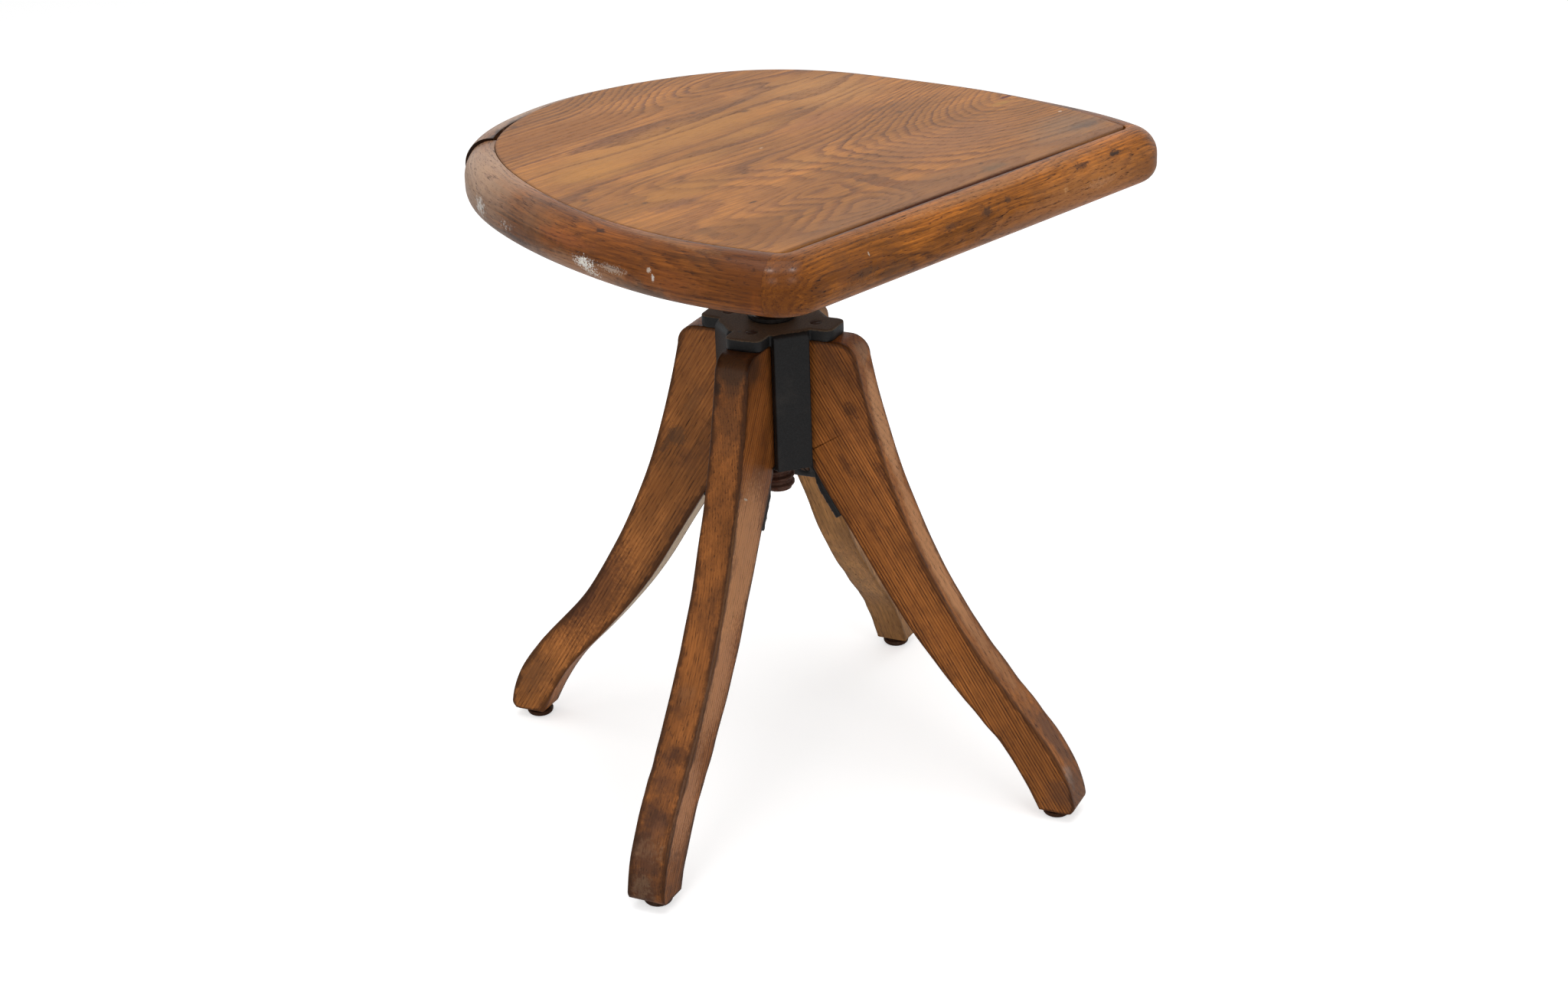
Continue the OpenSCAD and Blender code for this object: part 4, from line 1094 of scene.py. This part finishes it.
# The panel's stains, worn places and scars as (centre, reach, softness, raggedness, colour in linear
# thousandths, amount), and then its small dark pits as (x, y, size)
PANEL_MARKS = [
    ((-40, 62, 472), (160, 32, 60), 0.8, 0.35, (432, 187, 41), 0.75),
    ((-122, 42, 472), (50, 26, 60), 0.7, 0.4, (440, 195, 39), 0.6),
    ((-118, -34, 472), (52, 22, 60), 0.7, 0.4, (432, 183, 37), 0.6),
    ((-75, 8, 472), (60, 16, 60), 0.8, 0.4, (432, 187, 39), 0.5),
    ((120, 62, 472), (74, 62, 60), 0.8, 0.4, (448, 209, 65), 0.7),
    ((-75, 128, 472), (104, 34, 60), 0.7, 0.35, (264, 95, 18), 0.7),
    ((40, 118, 472), (60, 24, 60), 0.8, 0.35, (280, 109, 23), 0.55),
    ((-60, -92, 472), (70, 24, 60), 0.8, 0.4, (272, 108, 29), 0.55),
    ((20, 24, 472), (62, 14, 60), 0.8, 0.5, (440, 195, 45), 0.6),
    ((70, 8, 472), (60, 26, 60), 0.8, 0.4, (300, 118, 46), 0.5),
    ((-20, -52, 472), (40, 12, 60), 0.8, 0.6, (400, 175, 46), 0.55),
    ((0, -164, 472), (230, 36, 60), 0.7, 0.25, (240, 109, 44), 0.7),
    ((-150, -128, 472), (46, 34, 60), 0.7, 0.5, (200, 76, 18), 0.6),
    ((70, -96, 472), (110, 44, 60), 0.9, 0.3, (280, 121, 49), 0.55),
    ((150, -140, 472), (60, 36, 60), 0.8, 0.4, (264, 148, 78), 0.65),
    ((-140, -52, 472), (36, 9, 30), 0.7, 0.9, (208, 86, 37), 0.55),
    ((158, -145, 472), (26, 11, 9), 0.8, 0.6, (110, 75, 55), 0.65),
    ((42, -160, 472), (18, 8, 9), 0.8, 0.6, (120, 75, 42), 0.65),
    ((-168, -108, 472), (9, 16, 9), 0.8, 0.8, (180, 75, 22), 0.6),
    ((185, -58, 472), (7, 2.4, 6), 0.4, 0.5, (90, 12, 6), 0.95),
    ((171, -66, 472), (14, 5, 6), 0.8, 0.5, (416, 211, 41), 0.6),
    ((177, -112, 472), (2.2, 1.6, 4), 0.5, 0.5, (640, 500, 380), 0.8),
    ((-13, -8, 472), (2.6, 1, 4), 0.6, 0.5, (660, 470, 300), 0.8),
    ((-106, -88, 472), (5, 1.3, 4), 0.5, 0.6, (80, 35, 16), 0.9),
    ((0, -173.3, 470), (186, 3.3, 30), 0.4, 0.2, (80, 22, 10), 0.95),
]
PANEL_PITS = (
    (111, -23, 3), (-167, 0, 3), (-148, -35, 2.6), (-157, -27, 1.8), (8, -68, 2.2), (24, 92, 2.6),
    (62, 87, 1.8), (49, 66, 4), (76, 39, 3.4), (-76, 167, 3.4), (-63, -40, 3), (-15, 78, 2.4),
    (96, -12, 1.4), (45, -148, 2), (-53, -150, 1.6),
)
PANEL_MARKS += [((x, y, SEAT_TOP_Z), (1.5 * size, size, 5), 0.8, 0.6, (120, 52, 20), 0.8)
                for x, y, size in PANEL_PITS]
panel_oak = oak("panel_oak", (385, 152, 34), (150, 54, 24), (240, 92, 30), PANEL_MARKS,
                wander=1.1, ring=0.85, pores=0.55, arris=0.35, arris_width=1.2, pore_length=6.0,
                roughness=0.42, smears=0.5, clouds=0.18, streaks=0.3, sheen=0.06, shine=0.07)
panel = new_piece("seat_panel_board", np.column_stack([worn_to(grain), grain[:, 2]]),
                  loft_faces(len(rings), len(edge_line)), panel_oak,
                  {"grain": grain, "growth": growth, "edge": edge[:, 0]})
fit(panel, "seat", "panel_oak", "seat_panel")


# Rim
# Four lengths of oak, rounded over like a bullnose and glued end to end round the panel, with a shelf
# under its edge. The glue has let go at the left of the back, where the joint stands open.
RIM_T = 36.0
RIM_FLAT = 3.5
RIM_MIDDLE = (6.0, SEAT_TOP_Z - RIM_T / 2)
SHELF_W = 12.0
SHELF_H = 16.0
SHELF_EASE = 0.4
RIM_EASE = 0.3
RIM_FRONT_EASE = 0.5
RIGHT_JOINT = 1.05
BACK_JOINT = 133.0
MITRE = (162.2, -162.0)
OPEN_JOINT = (0.6, 1.8)
TIGHT_JOINT = 0.05
OPEN_END_EASE = 0.6
TIGHT_END_EASE = 0.06
# A joint's gap at the shelf, as a share of its size, and the width over which a full size is added to it
JOINT_ROOT, JOINT_W = 0.25, 24
FAR_DROP = 2.2
SPRUNG = (0.4, 2.4)
TOP_ROUND = 18.0
LOW_ROUND = 12.0
LOW_ROUND_LEFT = 16.5
NO_CHANGE = (0, 0, 0, 1)


def rim_section(drop, low_round, ease):
    """The rim's section as (out from the panel's edge, height), anticlockwise, its top lowered by drop."""
    low = SEAT_TOP_Z - RIM_T
    shelf_top = low + SHELF_H
    high = SEAT_TOP_Z - drop
    line = [(0, high - ease), (0.3 * ease, high - 0.3 * ease), (ease, high), (2.2, high)]
    for out, up in on_arc((RIM_FLAT, SEAT_TOP_Z - TOP_ROUND), TOP_ROUND, 90, 0, 19):
        line.append((out, up - drop * (up - SEAT_TOP_Z + TOP_ROUND) / TOP_ROUND))
    low_centre = (RIM_FLAT + TOP_ROUND - low_round, low + low_round)
    shelf = [(0, low), (-SHELF_W / 2, low), (SHELF_EASE - SHELF_W, low), (-SHELF_W, low + SHELF_EASE),
             (-SHELF_W, shelf_top - SHELF_EASE), (SHELF_EASE - SHELF_W, shelf_top),
             (-SHELF_W / 2, shelf_top), (0, shelf_top), (0, SEAT_TOP_Z - 8)]
    return np.concatenate([line, on_arc(low_centre, low_round, 0, -90, 15), shelf])


def rim_rail(node, path, straight_grain, spacing, tilt, seed, material, gaps, drops=NO_CHANGE,
             pushes=NO_CHANGE):
    """One length of the rim, its section run along the path, its ends drawn back by gaps and eased.

    The drops lower its top and the pushes move it outwards: (before, after, first share, last share).
    """
    points, ways = path
    steps = np.concatenate([[0], np.cumsum(np.linalg.norm(np.diff(points, axis=0), axis=1))])
    rows, grain, edge = [], [], []
    last = len(points) - 1
    ends = [OPEN_END_EASE if gap > 0.3 else TIGHT_END_EASE for gap in gaps]
    order = [(0, ends[0]), *((i, 0.0) for i in range(last + 1)), (last, ends[1])]
    for k, (i, shrink) in enumerate(order):
        here, way = points[i], ways[i]
        forward = np.array([-way[1], way[0]])
        share = steps[i] / steps[-1]
        drop, push = (before + (after - before) * float(smooth_step(share, first, final))
                      for before, after, first, final in (drops, pushes))
        left = float(smooth_step(-way[0], 0.5, 0.9)) * math.exp(-((here[1] + 30) / 70) ** 2)
        low_round = LOW_ROUND + (LOW_ROUND_LEFT - LOW_ROUND) * left
        section = rim_section(drop, low_round, RIM_EASE + RIM_FRONT_EASE * facing_front(way[1]))
        # The joint opens outwards, so the ends lean
        slip = np.zeros(len(section))
        open_out = JOINT_ROOT + np.clip((section[:, 0] + 2) / JOINT_W, 0, 1)
        if k <= 1:
            slip = gaps[0] * open_out + (ends[0] if k == 1 else 0.0)
        elif k >= last + 2:
            slip = -gaps[1] * open_out - (ends[1] if k == last + 2 else 0.0)
        off = section - RIM_MIDDLE
        out = section - shrink * off / np.maximum(np.linalg.norm(off, axis=1), 1)[:, None]
        inner = here - SHELF_W * way
        if inner[1] < MITRE[1] - 0.01 or (abs(inner[0]) > MITRE[0] and inner[1] < MITRE[1] + 0.5):
            inner = np.array([math.copysign(MITRE[0], inner[0]), MITRE[1]])
        toward = (here - inner) / SHELF_W
        flat = here + np.where(out[:, :1] > 0, out[:, :1] * way, out[:, :1] * toward)
        flat = flat + slip[:, None] * forward + push * way
        rows.append(np.column_stack([worn_to(flat), out[:, 1]]))
        run = flat[:, 0] if straight_grain else np.full(len(section), steps[i])
        side = flat[:, 1] if straight_grain else section[:, 0]
        grain.append(np.column_stack([run + 700.0 * seed, side, section[:, 1]]))
        from_edge = np.abs(section[:, 0]) + np.abs(section[:, 1] - SEAT_TOP_Z) * 0.6
        # The end faces at an open joint count as arris all over, so the arris darkening on them is painted
        # shade inside the gap
        edge.append(from_edge if shrink < 0.3 else 0 * from_edge)
    grain = np.concatenate(grain)
    lean = math.radians(tilt)
    drift = np.array([noise.noise(Vector((0.011 * g[0], 0.03 * g[1], 0.03 * g[2]))) for g in grain])
    growth = (grain[:, 1] * math.sin(lean) + grain[:, 2] * math.cos(lean)) / spacing
    growth = growth + 4.0 * drift + 13.0 * seed
    faces = loft_faces(len(rows), len(section), caps=True)
    rail = new_piece(node + "_rail", np.concatenate(rows), faces, material,
                     {"grain": grain, "growth": growth, "edge": np.concatenate(edge)}, sharp=42.0)
    fit(rail, "seat", "rim_oak", node)


# The marks on the rim's left side and on its front, given in the same way. The first two on the left side
# are painted sheen, and they are the back length's only marks.
RIM_LEFT_MARKS_AND_PAINTED_SHEEN = [
    # painted sheen: the pale reflection of the white surroundings on the rim's far left end
    ((-158, 126, 466), (80, 132, 40), 0.85, 0.3, (430, 262, 160), 0.92),
    # painted sheen: the pale reflection of the white surroundings on the back length
    ((-60, 200, 470), (110, 60, 40), 0.8, 0.3, (420, 280, 190), 0.8),
    ((-108, 163, 466), (2.5, 2.5, 40), 0.6, 0.2, (40, 18, 10), 0.5),
    ((-205, 20, 468), (26, 44, 18), 0.9, 0.5, (300, 130, 50), 0.6),
    ((-214, -30, 443), (30, 110, 13), 0.6, 0.55, (380, 185, 85), 0.7),
    ((-206, -20, 461), (16, 42, 7), 0.8, 0.9, (330, 95, 24), 0.6),
    ((-200, -110, 452), (30, 44, 12), 0.7, 0.8, (300, 90, 22), 0.55),
    ((-184, -166, 456), (38, 38, 40), 0.7, 0.4, (140, 38, 6), 0.74),
    ((-193, -104, 472), (5, 70, 3), 0.8, 0.6, (330, 150, 60), 0.5),
    ((-204, -70, 462), (20, 60, 20), 0.9, 0.5, (190, 52, 8), 0.5),
    ((-209, -88, 441), (22, 30, 8), 0.6, 0.9, (80, 50, 34), 0.6),
    ((-191, -170, 447), (5, 6, 15), 0.8, 0.6, (330, 85, 10), 0.75),
    ((-176, -186, 446), (3, 4, 10), 0.7, 0.6, (300, 85, 14), 0.6),
    ((-211, -41, 450), (5, 12, 5), 0.5, 1.7, (900, 860, 780), 1),
    ((-211, -46, 444), (5, 11, 4.2), 0.5, 1.7, (860, 800, 700), 1),
    ((-211, -68, 452), (5, 12, 3), 0.6, 1.8, (600, 480, 380), 0.6),
    ((-209, -99, 457), (4, 2.2, 2), 0.6, 1.1, (700, 620, 520), 0.7),
    ((-209, -102, 453), (4, 1.5, 2.6), 0.6, 1.1, (780, 740, 680), 0.8),
    ((-175, 100, 452), (8, 14, 8), 0.6, 1.4, (800, 760, 700), 0.85),
    ((-193, 66, 451), (7, 20, 6), 0.6, 1.6, (820, 780, 720), 0.9),
    ((-204, 30, 448), (6, 9, 6), 0.6, 1.5, (800, 760, 700), 0.85),
    ((-200, -49, 470), (2, 5.2, 3), 0.5, 0.8, (60, 24, 12), 0.85),
    ((-203, -8, 469), (2, 2.2, 3), 0.5, 0.8, (90, 36, 16), 0.7),
]
RIM_FRONT_MARKS = [
    ((-186, -178, 455), (44, 38, 40), 0.7, 0.4, (130, 36, 5), 0.78),
    ((0, -175.2, 472), (186, 1.5, 30), 0.5, 0.2, (45, 10, 5), 0.9),
    ((110, -197, 452), (100, 24, 24), 0.8, 0.4, (500, 200, 58), 0.6),
    ((-130, -197, 456), (40, 24, 12), 0.8, 0.8, (180, 60, 18), 0.6),
    ((-138, -197, 444), (34, 24, 7), 0.8, 0.9, (300, 125, 46), 0.5),
    ((60, -197, 446), (120, 20, 12), 0.8, 0.5, (430, 170, 56), 0.6),
    ((10, -186, 471), (165, 14, 3.5), 0.9, 0.6, (400, 180, 70), 0.6),
    ((-118, -194, 462), (0.8, 6, 1.5), 0.6, 0.5, (600, 480, 360), 0.7),
    ((-124, -196, 452), (16, 8, 5), 0.7, 1.1, (110, 50, 22), 0.7),
    ((-96, -196, 448), (18, 8, 4), 0.7, 1.1, (120, 52, 22), 0.6),
    ((-6, -194, 461), (6, 6, 3.2), 0.6, 1, (60, 30, 16), 0.8),
    ((16, -194, 463), (4, 6, 2.6), 0.6, 1, (70, 32, 16), 0.75),
    ((-42, -194, 460), (8, 6, 2.6), 0.7, 1.1, (90, 40, 18), 0.65),
    ((96, -190, 466), (11, 6, 2.6), 0.6, 1, (70, 30, 16), 0.75),
    ((74, -194, 456), (3, 6, 3), 0.6, 1, (620, 300, 110), 0.7),
    ((131, -190, 466), (9, 6, 2), 0.7, 0.9, (20, 15, 12), 0.9),
    ((110, -194, 452), (22, 6, 5), 0.9, 1.2, (560, 270, 120), 0.55),
    ((160, -194, 452), (24, 14, 7), 0.7, 1, (230, 85, 26), 0.6),
    ((183, -170, 466), (14, 22, 6), 0.8, 0.8, (270, 150, 75), 0.6),
    ((30, -194, 443), (60, 8, 3), 0.7, 1, (250, 110, 50), 0.55),
    ((-20, -190, 438), (170, 14, 3.6), 0.8, 1.3, (520, 270, 130), 0.6),
    ((196, -160, 458), (12, 20, 16), 0.8, 0.6, (420, 230, 110), 0.6),
]
CURVED_OAK = dict(light=(215, 66, 11), smear=(100, 40, 15), wander=3.0, ring=0.7, pores=0.8,
                  pore_length=5.0, streaks=0.5)
FRONT_OAK = dict(light=(365, 116, 14), smear=(140, 52, 17), wander=3.6, ring=0.6, pores=0.95,
                 pore_length=4.5, streaks=0.45)
RIM_WAX = dict(dark=(70, 20, 6), roughness=0.36, smears=0.65, clouds=0.3, sheen=0.14, shine=0.07)
CLEAN_ARRIS = dict(arris=0.2, arris_width=1.0)
# Dark arris dirt for the back length; on its end face at the open joint it is painted shade inside the gap
DARK_ARRIS_AND_JOINT_SHADE = dict(arris=0.95, arris_width=3.4)
rim_oak_left = oak("rim_left_oak", marks=RIM_LEFT_MARKS_AND_PAINTED_SHEEN, **CURVED_OAK, **RIM_WAX, **CLEAN_ARRIS)
rim_oak_front = oak("rim_front_oak", marks=RIM_FRONT_MARKS, **FRONT_OAK, **RIM_WAX, **CLEAN_ARRIS)
# The back length's only marks are the two patches of painted sheen
rim_oak_back = oak("rim_back_oak", marks=RIM_LEFT_MARKS_AND_PAINTED_SHEEN[:2], **CURVED_OAK, **RIM_WAX, **DARK_ARRIS_AND_JOINT_SHADE)
front_path = joined_parts(outline_part("left_corner", 180 - CORNER_A, 270), front_part(),
                          outline_part("right_corner", -90, CORNER_A))
right_path = outline_part("right", CORNER_A, RIGHT_JOINT)
back_path = joined_parts(outline_part("right", RIGHT_JOINT, MEET_A),
                         outline_part("back", MEET_A, BACK_JOINT))
left_path = joined_parts(outline_part("back", BACK_JOINT, 180 - MEET_A),
                         outline_part("left", 180 - MEET_A, 180 - CORNER_A))
rim_rail("rim_front", front_path, True, 3.4, 62, 1, rim_oak_front, (TIGHT_JOINT, TIGHT_JOINT))
rim_rail("rim_right", right_path, False, 3.1, 30, 2, rim_oak_left, (TIGHT_JOINT, TIGHT_JOINT),
         (0, FAR_DROP, 0, 1))
rim_rail("rim_back", back_path, False, 2.8, 50, 3, rim_oak_back, (TIGHT_JOINT, OPEN_JOINT[1]),
         (FAR_DROP, -SPRUNG[0], 0.82, 1), (0, SPRUNG[1], 0.62, 0.98))
rim_rail("rim_left", left_path, False, 2.6, 36, 4, rim_oak_left, (OPEN_JOINT[0], TIGHT_JOINT),
         (SPRUNG[0] * 2.5, 0, 0, 0.2))


# Dowels and the panel's screws
# Two beech dowels cross each joint of the rim, and show only in the open one. Ten screws go up through
# the shelf into the panel.
PANEL_SCREW = (4.0, 29.0)
SHELF_MIDDLE = 6.0
# Where the screws stand along the curved shelf, in degrees, and along the straight one, as shares of it
CURVED_SCREWS = (("right", -8.66), ("right", 18.55), ("back", 62.4), ("back", 100.6), ("left", 189.8),
                 ("left", 170.9), ("left", 150.9))
FRONT_SCREWS = (-0.6, 0.0, 0.6)
dowel_beech, tree, finish = new_material("dowel_beech")
spot = own_millimetres(tree)
flecks = cloudy(tree, scaled(tree, spot, (0.9, 0.9, 0.9)), 4.0, 0.65)
dulled = cloudy(tree, spot, 3.0, 0.6, 0.12)
colour = blended(tree, fade(tree, flecks, 0.4, 0.65), rgb(430, 270, 140), rgb(270, 150, 68))
colour = blended(tree, fade(tree, dulled, 0.5, 0.7, 0.0, 0.6), colour, rgb(140, 80, 42))
feed(tree, finish.inputs, {"Base Color": colour, "Roughness": 0.6})
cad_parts["rim_dowels"].data.materials.clear()
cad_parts["rim_dowels"].data.materials.append(dowel_beech)

screw = wood_screw("panel_screw", *PANEL_SCREW, screw_rust)
flat = []
for kind, turn in CURVED_SCREWS:
    line, ways = outline_part(kind, turn, turn + 0.01)
    flat.append(line[0] - SHELF_MIDDLE * ways[0])
flat += [(share * CORNER[0], FRONT_Y + SHELF_MIDDLE) for share in FRONT_SCREWS]
spots = [(*spot, SEAT_TOP_Z - RIM_T) for spot in worn_to(np.array(flat))]
panel_screws = fasten("panel_screw_set", screw, spots, [(0, 0, -1)] * len(spots), 4)
bpy.data.objects.remove(screw)
fit(panel_screws, "seat", "screw_steel", "panel_screws")


# Floor, light and background
# A white studio: the floor keeps only a faint shadow under the stool, and soft light comes from above
# and from both sides of the camera.
FLOOR_W = 7.0
FLOOR_GLOW = 0.56
BACKDROP_LIGHT = 0.42
floor = new_object("floor", bpy.data.meshes.new("floor"))
floor.data.from_pydata([(-FLOOR_W, -FLOOR_W, 0.0), (FLOOR_W, -FLOOR_W, 0.0), (FLOOR_W, FLOOR_W, 0.0),
                        (-FLOOR_W, FLOOR_W, 0.0)], [], [(0, 1, 2, 3)])
paper, tree, finish = new_material("floor_paper")
feed(tree, finish.inputs, {"Base Color": rgb(820, 820, 820), "Roughness": 0.9, "Specular IOR Level": 0.1})
to_camera = add(tree, "LightPath")["Is Camera Ray"]
glow = add(tree, "Emission", {"Color": WHITE, "Strength": times(tree, to_camera, FLOOR_GLOW)})[0]
both = add(tree, "AddShader", {0: finish.outputs[0], 1: glow})[0]
feed(tree, tree.nodes["Material Output"].inputs, {"Surface": both})
floor.data.materials.append(paper)

world = bpy.data.worlds.new("studio")
bpy.context.scene.world = world
world.use_nodes = True
tree = world.node_tree
seen = add(tree, "LightPath")
shown = calc(tree, "MAXIMUM", seen["Is Glossy Ray"], seen["Is Transmission Ray"])
shown = calc(tree, "MAXIMUM", seen["Is Camera Ray"], shown)
feed(tree, tree.nodes["Background"].inputs, {
    "Color": WHITE, "Strength": times(tree, shown, 1.0 - BACKDROP_LIGHT, BACKDROP_LIGHT)})

# Each lamp: its place, what it points at, its width in metres and its power in watts
LAMPS = {
    "lamp_above": ((-0.2, -0.2, 2.4), (0.0, 0.0, 0.3), 2.0, 30.0),
    "lamp_left": ((-2.2, -0.9, 1.7), (0.0, 0.0, 0.35), 0.8, 9.0),
    "lamp_right": ((-0.9, -2.2, 1.7), (0.0, 0.0, 0.35), 0.8, 9.0),
    "glint_left": ((-1.07, -0.02, 2.45), (-0.18, -0.18, 0.45), 0.3, 12.0),
    "glint_right": ((-0.07, -1.08, 2.45), (-0.18, -0.18, 0.45), 0.3, 12.0),
}
for name, (spot, target, size, power) in LAMPS.items():
    lamp = new_object(name, bpy.data.lights.new(name, "AREA"))
    lamp.data.energy, lamp.data.size = power, size
    lamp.location = spot
    lamp.rotation_euler = (Vector(spot) - Vector(target)).to_track_quat("Z", "Y").to_euler()
    lamp.visible_diffuse = not name.startswith("glint")
